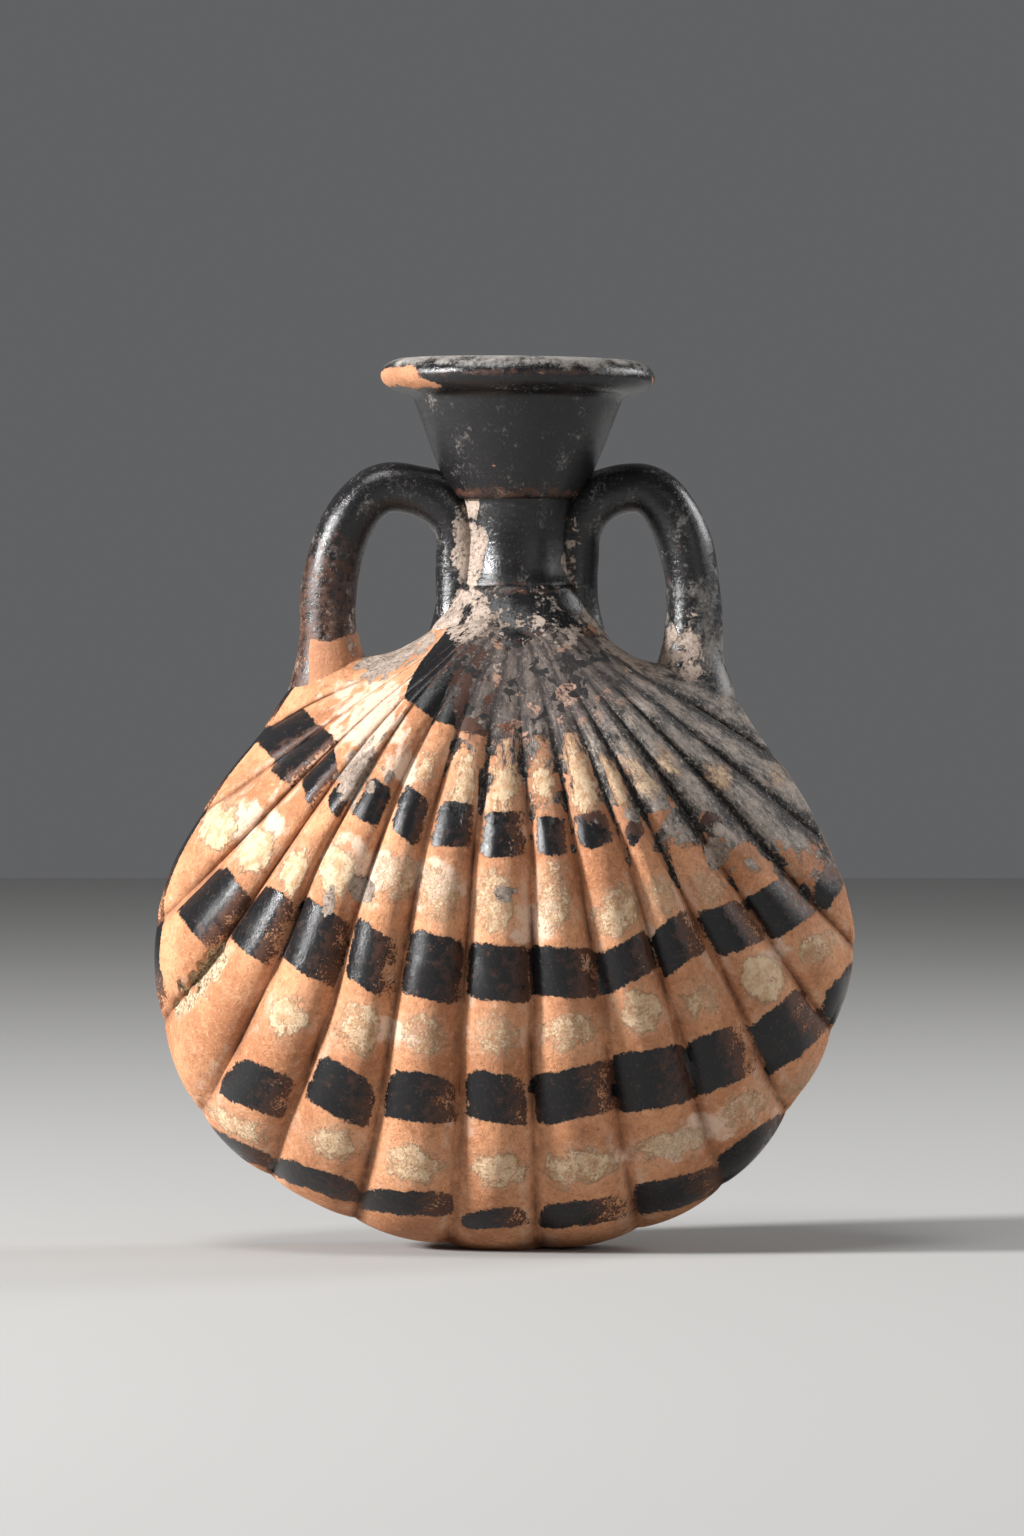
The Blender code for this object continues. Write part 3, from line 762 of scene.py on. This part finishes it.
crustMarks = {
    "mouth": [(100, 88.0, 14, 2.5), (-100, 90.0, 10, 2.0)],
    "neck": [(-61, 79.0, 25, 9.0), (76, 77.0, 18, 5.0), (-150, 79.0, 24, 6.0), (150, 77.0, 18, 4.0)],
    "shoulder_collar": [(-58, 71.0, 40, 4.6), (-16, 70.0, 34, 2.6), (22, 68.6, 16, 1.4),
                        (82, 70.0, 30, 3.6), (180, 70.0, 80, 3.0)],
}
# the two marks round the mouth's lip top are a painted highlight, laid as grey bloom
bloomAndSheenMarks = {
    "mouth": [(0, 100.4, 180, 2.2), (180, 100.4, 180, 2.2), (180, 91.0, 60, 3.0), (-14, 94.6, 9, 1.0)],
    "neck": [],
    "shoulder_collar": [(180, 71.0, 120, 2.4)],
}
speckled = {"mouth": 0.20, "neck": 0.15, "shoulder_collar": 0.53}    # thin crust all over
scuffed = {"mouth": 0.06, "neck": 0.05, "shoulder_collar": 0.14}     # wear all over


def markField(marks, turn, height):
    # mm inside the nearest mark, negative outside
    best = -3.0
    for markTurn, markHeight, halfTurn, halfHeight in marks:
        off = (turn - markTurn + 180) % 360 - 180
        best = max(best, (1 - math.hypot(off / halfTurn, (height - markHeight) / halfHeight)) * halfHeight)
    return best


def paintTurned(node):
    rows = []
    for vertex in pieces[node].data.vertices:
        out = Vector((vertex.co.x - axisX, vertex.co.y))
        turn, height = math.degrees(math.atan2(out.x, -out.y)), vertex.co.z / mm
        thin = smoothStep(-0.5, 0.6, markField(thinMarks[node], turn, height))
        turn += handWobble(vertex.co, (3.5 * mm, 14))       # the marks' edges are uneven
        height += handWobble(vertex.co, (1.8 * mm, 0.7))
        inBowl = node == "mouth" and out.length <= wallRadius(vertex.co.z) - 1.2 * mm
        crust = 0.8 * smoothStep(-1.4, 2.0, markField(crustMarks[node], turn, height))
        rows.append({
            "black": 2.0 if inBowl else -markField(bareMarks[node], turn, height),
            "wear": scuffed[node] + 0.40 * thin, "thin": 0.6 * thin, "crust": max(crust, speckled[node]),
            # bloom: grey bloom, and along the lip's top a painted highlight
            "bloom": smoothStep(-0.4, 1.6, markField(bloomAndSheenMarks[node], turn, height)),
        })
    storeFields(pieces[node], rows)


for node in speckled:
    paintTurned(node)


# the left leg is bare below its line, and earth gathers at both roots and inside both loops
handleWear = {
    "left_handle": {"bareBelow": 69.8, "thin": 0.60, "wear": 0.38, "rootCrust": 0.15, "strapCrust": 0.90,
                    "dusty": 0.0},
    "right_handle": {"bareBelow": 40.0, "thin": 0.15, "wear": 0.12, "rootCrust": 0.85, "strapCrust": 0.60,
                     "dusty": 0.5},
}
handleSpeckled = 0.27                        # thin crust all over


def paintHandle(node, side):
    # distances from the neck's axis and heights, all in mm
    look = handleWear[node]
    middle = handles["reach"][side] / mm
    rows = []
    for vertex in pieces[node].data.vertices:
        height, out = vertex.co.z / mm, abs(vertex.co.x - axisX) / mm
        leg = smoothStep(11, 14, out)
        painted = height - look["bareBelow"] - 1.2 * vertex.co.y / handles["radius"]
        outerStrip = smoothStep(1.6, 2.6, out - middle) * smoothStep(60, 63, height)
        strap = smoothStep(8.8, 6.0, out) * smoothStep(86, 81, height)
        inLoop = smoothStep(1.4, 2.8, middle - out) * leg * smoothStep(78, 70, height)
        root = leg * smoothStep(77, 67, height) * smoothStep(3.4, -0.6, out - middle)
        crust = max(look["strapCrust"] * strap, look["rootCrust"] * root, 0.6 * inLoop)
        rows.append({
            "black": max(painted, 6 * outerStrip - 2.4) if leg > 0 else 2.0,
            "wear": look["wear"] * (0.4 + 0.9 * leg * smoothStep(84, 72, height)),
            "thin": look["thin"] * leg * smoothStep(86, 74, height),
            "crust": max(crust, handleSpeckled),
            "bloom": 0.10 + look["dusty"] * leg * smoothStep(80, 66, height),
        })
    storeFields(pieces[node], rows)


paintHandle("left_handle", -1)
paintHandle("right_handle", 1)


def paintStrip():
    # black down the left side, patchy elsewhere
    rows = []
    for vertex in pieces["seam_strip"].data.vertices:
        height = vertex.co.z / mm
        patches = 3 * noise.noise(Vector((vertex.co.x / (9 * mm), 0.0, vertex.co.z / (9 * mm))))
        onLeft = vertex.co.x < 0 and height > 14
        rows.append({"black": patches + (2.2 if onLeft else -1.2), "wear": 0.30, "thin": 0.35,
                     "crust": 0.9 * smoothStep(58, 66, height)})
    storeFields(pieces["seam_strip"], rows)


paintStrip()
print("paint laid out")


# Shader helpers
def feed(tree, socket, value):
    if isinstance(value, bpy.types.NodeSocket):
        tree.links.new(value, socket)
    else:
        socket.default_value = value


def addNode(tree, kind, inputs=None, **settings):
    node = tree.nodes.new("ShaderNode" + kind)
    for key, value in settings.items():
        setattr(node, key, value)
    for key, value in (inputs or {}).items():
        feed(tree, node.inputs[key], value)
    return node


def calc(tree, operation, first, second):
    return addNode(tree, "Math", {0: first, 1: second}, operation=operation).outputs[0]


def vectorCalc(tree, operation, first, second):
    return addNode(tree, "VectorMath", {0: first, 1: second}, operation=operation).outputs[0]


def times(tree, first, second):
    return calc(tree, "MULTIPLY", first, second)


def plus(tree, first, second):
    return calc(tree, "ADD", first, second)


def minus(tree, first, second):
    return calc(tree, "SUBTRACT", first, second)


def weighted(tree, *parts):
    # the sum of (value, weight) parts
    total = None
    for value, weight in parts:
        part = times(tree, value, weight)
        total = part if total is None else plus(tree, total, part)
    return total


def mixColour(tree, amount, first, second):
    return addNode(tree, "Mix", {0: amount, 6: first, 7: second}, data_type="RGBA").outputs[2]


def mixValue(tree, amount, first, second):
    return addNode(tree, "Mix", {0: amount, 2: first, 3: second}).outputs[0]


def tint(tree, colour, mask, strength, tone):
    # a colour with a tone laid over it where the mask is
    return mixColour(tree, times(tree, mask, strength), colour, tone)


def cloud(tree, vector, scale, detail=4.0, roughness=0.55):
    # soft noise, its scale in lumps to the metre
    values = {"Vector": vector, "Scale": scale, "Detail": detail, "Roughness": roughness}
    return addNode(tree, "TexNoise", values).outputs["Fac"]


def between(tree, value, low, high):
    # 0 at low, 1 at high, eased
    values = {"Value": value, "From Min": low, "From Max": high}
    return addNode(tree, "MapRange", values, interpolation_type="SMOOTHSTEP").outputs[0]


def field(tree, name):
    return addNode(tree, "Attribute", attribute_name=name).outputs["Fac"]


# Effects that the finishes share, each a node group with a Vector and some numbers going in
groups = {}


def startGroup(name, numbers, outputs):
    tree = bpy.data.node_groups.new(name, "ShaderNodeTree")
    tree.interface.new_socket("Vector", in_out="INPUT", socket_type="NodeSocketVector")
    for socketName, value in numbers.items():
        socket = tree.interface.new_socket(socketName, in_out="INPUT", socket_type="NodeSocketFloat")
        socket.default_value = value
    for socketName, kind in outputs.items():
        tree.interface.new_socket(socketName, in_out="OUTPUT", socket_type="NodeSocket" + kind)
    return tree, tree.nodes.new("NodeGroupInput").outputs, tree.nodes.new("NodeGroupOutput").inputs


def useGroup(tree, name, vector, **numbers):
    node = tree.nodes.new("ShaderNodeGroup")
    node.node_tree = groups[name]
    feed(tree, node.inputs["Vector"], vector)
    for key, value in numbers.items():
        feed(tree, node.inputs[key], value)
    return node.outputs


def makeBrushEdge():
    # a painted mark's mask from its field in mm, with the ragged edge of a brush
    tree, given, result = startGroup("brushEdge", {"Field": 0.0, "Ragged": 0.4, "Soft": 0.1},
                                     {"Mask": "Float"})
    broad = minus(tree, cloud(tree, given["Vector"], 480, 3.0), 0.5)
    fine = minus(tree, cloud(tree, given["Vector"], 2600, 4.0, 0.7), 0.5)
    shift = times(tree, weighted(tree, (broad, 2.4), (fine, 2.6)), given["Ragged"])
    level = plus(tree, given["Field"], shift)
    low = times(tree, given["Soft"], -1.0)
    feed(tree, result["Mask"], between(tree, level, low, given["Soft"]))
    return tree


def makeFlaking():
    # where a film has come off in fine specks and small flakes
    tree, given, result = startGroup("flaking", {"Amount": 0.3}, {"Mask": "Float"})
    specks = cloud(tree, given["Vector"], 3400, 4.0, 0.75)
    patches = cloud(tree, given["Vector"], 420, 4.0, 0.6)
    level = weighted(tree, (specks, 0.65), (patches, 0.40))
    limit = minus(tree, 0.725, times(tree, given["Amount"], 0.26))
    feed(tree, result["Mask"], between(tree, level, limit, plus(tree, limit, 0.03)))
    return tree


def makeScales():
    # uneven scales with cracks between them: a value for each scale, and the crack round it
    tree, given, result = startGroup("scales", {"Scale": 450.0}, {"Value": "Float", "Crack": "Float"})
    bend = addNode(tree, "TexNoise", {"Vector": given["Vector"], "Scale": 700.0, "Detail": 3.0})
    bend = vectorCalc(tree, "SUBTRACT", bend.outputs["Color"], (0.5, 0.5, 0.5))
    bend = vectorCalc(tree, "MULTIPLY", bend, (2.4 * mm, 2.4 * mm, 2.4 * mm))
    place = {"Vector": vectorCalc(tree, "ADD", given["Vector"], bend), "Scale": given["Scale"]}
    cells = addNode(tree, "TexVoronoi", place)
    rims = addNode(tree, "TexVoronoi", place, feature="DISTANCE_TO_EDGE")
    feed(tree, result["Value"], addNode(tree, "SeparateColor", {0: cells.outputs["Color"]}).outputs[0])
    feed(tree, result["Crack"], between(tree, rims.outputs["Distance"], 0.07, 0.0))
    return tree


clayTones = {"deep": (0.46, 0.188, 0.082, 1), "warm": (0.69, 0.325, 0.162, 1),
             "shade": (0.30, 0.115, 0.05, 1), "glow": (0.80, 0.415, 0.225, 1),
             "bloom": (0.74, 0.46, 0.28, 1), "wash": (0.84, 0.62, 0.47, 1),
             "darkGrain": (0.20, 0.07, 0.03, 1), "paleGrain": (0.88, 0.58, 0.37, 1),
             "stain": (0.24, 0.10, 0.055, 1)}


def makeFiredClay():
    # orange clay with darker and paler clouds, sandy grain and specks
    tree, given, result = startGroup("firedClay", {"Pale": 0.0},
                                     {"Color": "Color", "Roughness": "Float", "Height": "Float"})
    vector, pale = given["Vector"], given["Pale"]
    broad = between(tree, cloud(tree, vector, 110, 5.0, 0.6), 0.36, 0.66)
    mottle = cloud(tree, vector, 1300, 5.0, 0.7)
    grain = cloud(tree, vector, 3000, 5.0, 0.75)
    wash = plus(tree, cloud(tree, vector, 420, 5.0, 0.65), times(tree, pale, 0.5))
    wash = times(tree, between(tree, wash, 0.56, 0.82), between(tree, pale, 0.0, 0.25))
    layers = [("shade", between(tree, mottle, 0.50, 0.30), 0.6),
              ("glow", between(tree, mottle, 0.52, 0.72), 0.6),
              ("bloom", between(tree, cloud(tree, vector, 300, 6.0, 0.68), 0.57, 0.72), 0.30),
              ("wash", wash, 0.85),
              ("darkGrain", between(tree, grain, 0.46, 0.30), 0.8),
              ("paleGrain", between(tree, grain, 0.56, 0.72), 0.60),
              ("stain", between(tree, cloud(tree, vector, 190, 6.0, 0.7), 0.60, 0.72), 0.45)]
    colour = mixColour(tree, broad, clayTones["deep"], clayTones["warm"])
    for tone, mask, strength in layers:
        colour = tint(tree, colour, mask, strength, clayTones[tone])
    feed(tree, result["Color"], colour)
    feed(tree, result["Roughness"], mixValue(tree, broad, 0.62, 0.80))
    feed(tree, result["Height"], weighted(tree, (grain, 0.8), (mottle, 0.9)))
    return tree


glazeTones = {"black": (0.010, 0.010, 0.011, 1), "brown": (0.085, 0.034, 0.019, 1),
              "dust": (0.15, 0.11, 0.09, 1)}


def makeGlaze():
    # black glaze, brown where it is thin
    tree, given, result = startGroup("blackGlaze", {"Thin": 0.2}, {"Color": "Color", "Roughness": "Float"})
    vector = given["Vector"]
    thin = plus(tree, cloud(tree, vector, 900, 6.0, 0.7), times(tree, given["Thin"], 0.45))
    thin = between(tree, thin, 0.60, 0.95)
    colour = mixColour(tree, thin, glazeTones["black"], glazeTones["brown"])
    dust = between(tree, cloud(tree, vector, 2800, 4.0, 0.7), 0.58, 0.70)
    rough = mixValue(tree, between(tree, cloud(tree, vector, 260, 4.0), 0.38, 0.66), 0.13, 0.27)
    feed(tree, result["Color"], tint(tree, colour, dust, 0.30, glazeTones["dust"]))
    feed(tree, result["Roughness"], mixValue(tree, thin, rough, 0.58))
    return tree


bloomAndSheenTones = {"dark": (0.17, 0.155, 0.14, 1), "pale": (0.56, 0.51, 0.47, 1)}


def makeBloomAndSheen():
    # grey film of age on black glaze, also laid as a painted highlight along the mouth's lip
    tree, given, result = startGroup("greyBloomAndSheen", {"Amount": 0.0}, {"Mask": "Float", "Color": "Color"})
    vector = given["Vector"]
    broad, fine = cloud(tree, vector, 330, 5.0, 0.65), cloud(tree, vector, 2400, 4.0, 0.75)
    level = weighted(tree, (broad, 0.6), (fine, 0.4), (given["Amount"], 0.22))
    colour = mixColour(tree, cloud(tree, vector, 700, 3.0), bloomAndSheenTones["dark"], bloomAndSheenTones["pale"])
    feed(tree, result["Mask"], times(tree, between(tree, level, 0.54, 0.78), 0.85))
    feed(tree, result["Color"], colour)
    return tree


crustTones = {"dark": (0.25, 0.190, 0.150, 1), "pale": (0.50, 0.395, 0.325, 1),
              "pits": (0.10, 0.068, 0.05, 1), "grit": (0.60, 0.50, 0.43, 1),
              "cracks": (0.10, 0.07, 0.052, 1)}


def makeCrust():
    # scabs of pale earth, with broken edges
    tree, given, result = startGroup("earthCrust", {"Amount": 0.0},
                                     {"Mask": "Float", "Color": "Color", "Height": "Float"})
    vector, amount = given["Vector"], given["Amount"]
    scales = useGroup(tree, "scales", vector, Scale=620.0)
    broad = cloud(tree, vector, 380, 6.0, 0.68)
    fine = cloud(tree, vector, 2200, 5.0, 0.75)
    level = weighted(tree, (broad, 0.56), (fine, 0.32), (scales["Value"], 0.12))
    limit = minus(tree, 0.76, times(tree, amount, 0.42))
    mask = between(tree, level, limit, plus(tree, limit, 0.035))
    mask = times(tree, mask, between(tree, amount, 0.02, 0.12))
    colour = mixColour(tree, between(tree, broad, 0.35, 0.65), crustTones["dark"], crustTones["pale"])
    colour = mixColour(tree, between(tree, fine, 0.50, 0.34), colour, crustTones["pits"])
    colour = mixColour(tree, between(tree, fine, 0.56, 0.70), colour, crustTones["grit"])
    feed(tree, result["Mask"], mask)
    feed(tree, result["Color"], tint(tree, colour, scales["Crack"], 0.18, crustTones["cracks"]))
    feed(tree, result["Height"], times(tree, mask, plus(tree, fine, 0.4)))
    return tree


for name, make in (("edge", makeBrushEdge), ("flaking", makeFlaking), ("scales", makeScales),
                   ("clay", makeFiredClay), ("glaze", makeGlaze), ("bloom", makeBloomAndSheen),
                   ("crust", makeCrust)):
    groups[name] = make()


# Finishes
def startFinish(name):
    material = bpy.data.materials.new(name)
    material.use_nodes = True
    tree = material.node_tree
    return material, tree, tree.nodes["Principled BSDF"], addNode(tree, "TexCoord").outputs["Object"]


def layBlack(tree, vector, ragged, colour, rough):
    # the painted black, broken by wear
    edge = useGroup(tree, "edge", vector, Field=field(tree, "black"), Ragged=ragged, Soft=0.07)["Mask"]
    flaked = useGroup(tree, "flaking", vector, Amount=field(tree, "wear"))["Mask"]
    mask = times(tree, edge, minus(tree, 1.0, flaked))
    glaze = useGroup(tree, "glaze", vector, Thin=field(tree, "thin"))
    rough = mixValue(tree, mask, rough, glaze["Roughness"])
    return mask, mixColour(tree, mask, colour, glaze["Color"]), rough


def layCrust(tree, vector, colour, rough):
    crust = useGroup(tree, "crust", vector, Amount=field(tree, "crust"))
    mask = crust["Mask"]
    return crust["Height"], mixColour(tree, mask, colour, crust["Color"]), mixValue(tree, mask, rough, 0.93)


def setShader(tree, shader, colour, rough, height, relief, gloss):
    bump = addNode(tree, "Bump", {"Strength": 0.8, "Distance": relief, "Height": height})
    feed(tree, shader.inputs["Base Color"], colour)
    feed(tree, shader.inputs["Roughness"], rough)
    feed(tree, shader.inputs["Normal"], bump.outputs["Normal"])
    shader.inputs["Specular IOR Level"].default_value = gloss


# dirt: dark brown for dirt and painted shade in the grooves
shellTones = {"dirtAndShade": (0.15, 0.062, 0.034, 1), "dust": (0.74, 0.53, 0.40, 1), "halo": (0.72, 0.47, 0.32, 1),
              "cream": ((0.58, 0.345, 0.185, 1), (0.80, 0.595, 0.385, 1)),
              "scar": ((0.15, 0.075, 0.04, 1), (0.74, 0.57, 0.37, 1))}
# black, ash and grit: over the ribs, and on the smoother cap
filmTones = {"black": ((0.018, 0.015, 0.014, 1), (0.050, 0.038, 0.034, 1)),
             "ash": ((0.450, 0.375, 0.320, 1), (0.190, 0.150, 0.130, 1)),
             "grit": ((0.64, 0.55, 0.48, 1), (0.32, 0.26, 0.225, 1)),
             "flecks": ((0.40, 0.15, 0.075, 1), (0.50, 0.36, 0.28, 1)),
             "cracks": (0.02, 0.016, 0.014, 1), "stain": (0.20, 0.08, 0.045, 1),
             "gloss": (0.020, 0.017, 0.016, 1)}


def layGrooveDirtAndShade(tree, vector, colour, groove, streaks):
    # dark dirt and painted shade down in the grooves, and pale dust on the flanks of the ribs
    # painted shade: the grooves are darkened here as well as by the relief
    dirtAndShade = times(tree, between(tree, groove, 0.50, 1.0), between(tree, streaks, 0.30, 0.58))
    colour = tint(tree, colour, dirtAndShade, 0.80, shellTones["dirtAndShade"])
    flank = times(tree, between(tree, groove, 0.20, 0.45), between(tree, groove, 0.75, 0.50))
    dust = times(tree, flank, between(tree, cloud(tree, vector, 230, 5.0, 0.7), 0.48, 0.64))
    return tint(tree, colour, dust, 0.55, shellTones["dust"])


def layDots(tree, vector, colour, streaks, fine):
    # cream dots in a pale halo, partly flaked off, and where they keep the film away
    kept = field(tree, "kept")
    blots = minus(tree, cloud(tree, vector, 260, 3.0, 0.6), 0.5)
    uneven = weighted(tree, (minus(tree, streaks, 0.5), 2.2), (blots, 2.8))
    dots = plus(tree, field(tree, "cream"), uneven)
    halo = times(tree, between(tree, dots, -1.5, 0.5), between(tree, fine, 0.36, 0.66))
    colour = tint(tree, colour, halo, 0.55, shellTones["halo"])
    core = useGroup(tree, "edge", vector, Field=dots, Ragged=0.60, Soft=0.20)["Mask"]
    lost = minus(tree, 1.25, times(tree, kept, 0.95))
    gone = useGroup(tree, "flaking", vector, Amount=lost)["Mask"]
    core = times(tree, core, minus(tree, 0.92, times(tree, gone, 0.85)))
    creamLevel = weighted(tree, (cloud(tree, vector, 900, 3.0), 0.7), (fine, 0.3))
    cream = mixColour(tree, between(tree, creamLevel, 0.36, 0.60), *shellTones["cream"])
    ring = times(tree, between(tree, dots, -0.4, 0.0), between(tree, kept, 0.5, 0.8))
    return core, calc(tree, "MAXIMUM", core, ring), mixColour(tree, core, colour, cream)


def layFilm(tree, vector, colour, rough, groove, streaks, fine, clear):
    # dark film with ash on the crests and painted shade in the grooves, off in scales towards its edge,
    # smoother and flecked on the cap
    inside = field(tree, "film")
    film = useGroup(tree, "edge", vector, Field=inside, Ragged=1.5, Soft=0.30)["Mask"]
    film = times(tree, film, minus(tree, 1.0, times(tree, clear, 0.95)))
    scales = useGroup(tree, "scales", vector, Scale=540.0)
    peeled = useGroup(tree, "scales", vector, Scale=950.0)["Value"]
    loose = plus(tree, 0.14, times(tree, between(tree, inside, 13.0, 0.0), 0.40))
    held = weighted(tree, (scales["Value"], 0.5), (fine, 0.5))
    held = between(tree, held, loose, plus(tree, loose, 0.05))
    onCap = between(tree, plus(tree, field(tree, "down"), times(tree, streaks, 8.0)), 23.0, 18.0)
    black, ashes, grit = [mixColour(tree, onCap, *filmTones[tone]) for tone in ("black", "ash", "grit")]
    ash = weighted(tree, (streaks, 0.5), (cloud(tree, vector, 340, 5.0, 0.7), 0.5))
    # painted shade: less ash down in the grooves keeps them darker
    ash = between(tree, minus(tree, ash, times(tree, groove, 0.26)), 0.34, 0.60)
    tone = tint(tree, mixColour(tree, ash, black, ashes), between(tree, fine, 0.52, 0.68), 0.7, grit)
    tone = tint(tree, tone, scales["Crack"], 0.3, filmTones["cracks"])
    tone = mixColour(tree, held, mixColour(tree, 0.30, colour, filmTones["stain"]), tone)
    flecks = times(tree, between(tree, peeled, 0.91, 0.93), between(tree, fine, 0.42, 0.54))
    fleckTone = mixColour(tree, cloud(tree, vector, 500, 3.0), *filmTones["flecks"])
    tone = tint(tree, tone, flecks, onCap, fleckTone)
    tone = tint(tree, tone, between(tree, peeled, 0.18, 0.15), onCap, filmTones["gloss"])
    rough = mixValue(tree, film, rough, mixValue(tree, ash, 0.42, 0.75))
    return times(tree, film, held), peeled, mixColour(tree, film, colour, tone), rough


def shellFinish(name):
    # fired clay with cream dots, black strokes, a flaking dark film and crust over it
    material, tree, shader, vector = startFinish(name)
    clay = useGroup(tree, "clay", vector, Pale=field(tree, "pale"))
    groove = field(tree, "groove")
    ribSpace = addNode(tree, "CombineXYZ", {0: times(tree, field(tree, "rib"), 7.0),
                                            1: times(tree, field(tree, "down"), 0.45)}).outputs[0]
    streaks = cloud(tree, ribSpace, 1.0, 5.0, 0.65)
    fine = cloud(tree, vector, 2300, 5.0, 0.75)
    colour = layGrooveDirtAndShade(tree, vector, clay["Color"], groove, streaks)
    core, clear, colour = layDots(tree, vector, colour, streaks, fine)
    black, colour, rough = layBlack(tree, vector, 0.42, colour, clay["Roughness"])
    film, peeled, colour, rough = layFilm(tree, vector, colour, rough, groove, streaks, fine, clear)
    scar = between(tree, field(tree, "scar"), 0.10, 0.35)
    scarTone = mixColour(tree, between(tree, fine, 0.35, 0.65), *shellTones["scar"])
    colour = mixColour(tree, scar, colour, scarTone)
    rough = mixValue(tree, scar, rough, 0.9)
    crust, colour, rough = layCrust(tree, vector, colour, rough)
    lumps = weighted(tree, (fine, 0.6), (peeled, 0.5))
    sandy = mixValue(tree, black, 0.75, 0.16)    # the glaze fills the clay's grain
    height = weighted(tree, (clay["Height"], sandy), (black, 0.30), (film, 0.30), (core, 0.35),
                      (crust, 0.8), (calc(tree, "MAXIMUM", film, core), lumps))
    setShader(tree, shader, colour, rough, height, 0.42 * mm, 0.32)
    return material


def glazeFinish(name):
    # black glaze on fired clay, with grey bloom (along the lip's top a painted highlight), crust and the
    # fine lines of the wheel
    material, tree, shader, vector = startFinish(name)
    clay = useGroup(tree, "clay", vector, Pale=0.0)
    bare = mixColour(tree, 0.35, clay["Color"], (0.25, 0.11, 0.06, 1))
    black, colour, rough = layBlack(tree, vector, 0.30, bare, clay["Roughness"])
    bloom = useGroup(tree, "bloom", vector, Amount=field(tree, "bloom"))
    grey = times(tree, bloom["Mask"], black)
    colour = mixColour(tree, grey, colour, bloom["Color"])
    rough = mixValue(tree, grey, rough, 0.70)
    crust, colour, rough = layCrust(tree, vector, colour, rough)
    wheel = addNode(tree, "Mapping", {"Vector": vector, "Scale": (0.06, 0.06, 1.0)}).outputs[0]
    sandy = mixValue(tree, black, 0.75, 0.22)
    height = weighted(tree, (clay["Height"], sandy), (black, 0.25), (crust, 0.9),
                      (cloud(tree, wheel, 1500, 4.0, 0.6), 0.22))
    setShader(tree, shader, colour, rough, height, 0.28 * mm, 0.45)
    return material


for node, piece in pieces.items():
    finish = shellFinish if node.endswith("_valve") else glazeFinish
    piece.data.materials.clear()
    piece.data.materials.append(finish(node + "Finish"))
    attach(piece, "root")
    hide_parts(node)
print("finishes made")


# Stage, light and camera
stage = {"size": 3.0, "colour": (0.42, 0.415, 0.405, 1), "roughness": 0.9}


def makeStage():
    clearSelection()
    bpy.ops.mesh.primitive_plane_add(size=stage["size"], location=(0, 0, 0))
    floor = bpy.context.object
    floor.name = "paleFloor"
    material = bpy.data.materials.new("palePaper")
    material.use_nodes = True
    shader = material.node_tree.nodes["Principled BSDF"]
    shader.inputs["Base Color"].default_value = stage["colour"]
    shader.inputs["Roughness"].default_value = stage["roughness"]
    floor.data.materials.append(material)


lamps = {
    "keyLamp": {"place": (-0.83, -0.28, 0.35), "size": 0.15, "power": 18.5},
    "fillLamp": {"place": (0.50, -0.78, 0.25), "size": 0.50, "power": 0.7},
    "rimLamp": {"place": (0.62, 0.35, 0.40), "size": 0.30, "power": 2.6},
    "sideLamp": {"place": (0.80, -0.06, 0.28), "size": 0.14, "power": 0.8},
    "topLamp": {"place": (-0.25, -0.30, 0.95), "size": 0.35, "power": 4.0},
}
lampAim = Vector((0.0, 0.0, 0.05))
room = {"colour": (0.80, 0.81, 0.83, 1), "strength": 0.15}


def makeLamps():
    for name, lamp in lamps.items():
        clearSelection()
        bpy.ops.object.light_add(type="AREA", location=lamp["place"])
        light = bpy.context.object
        light.name = name
        light.data.shape = "DISK"
        light.data.size = lamp["size"]
        light.data.energy = lamp["power"]
        light.rotation_euler = (lampAim - light.location).to_track_quat("-Z", "Y").to_euler()
    world = bpy.data.worlds.new("softRoom")
    world.use_nodes = True
    background = world.node_tree.nodes["Background"]
    background.inputs["Color"].default_value = room["colour"]
    background.inputs["Strength"].default_value = room["strength"]
    bpy.context.scene.world = world


view = {"target": Vector((0.68 * mm, 0.0, 54.05 * mm)), "distance": 0.90, "elevation": math.radians(0.8),
        "frameHeight": 172.97 * mm, "sensor": 36.0}


def makeCamera():
    clearSelection()
    away = Vector((0.0, -math.cos(view["elevation"]), math.sin(view["elevation"])))
    bpy.ops.object.camera_add(location=view["target"] + away * view["distance"])
    camera = bpy.context.object
    camera.name = "photoView"
    camera.rotation_euler = (-away).to_track_quat("-Z", "Y").to_euler()
    camera.data.sensor_fit = "VERTICAL"
    camera.data.sensor_height = view["sensor"]
    camera.data.lens = view["sensor"] * view["distance"] / view["frameHeight"]
    camera.data.clip_start = 0.01
    bpy.context.scene.camera = camera


makeStage()
makeLamps()
makeCamera()
bpy.context.scene.view_settings.view_transform = "Standard"
print("stage, lamps and camera set")
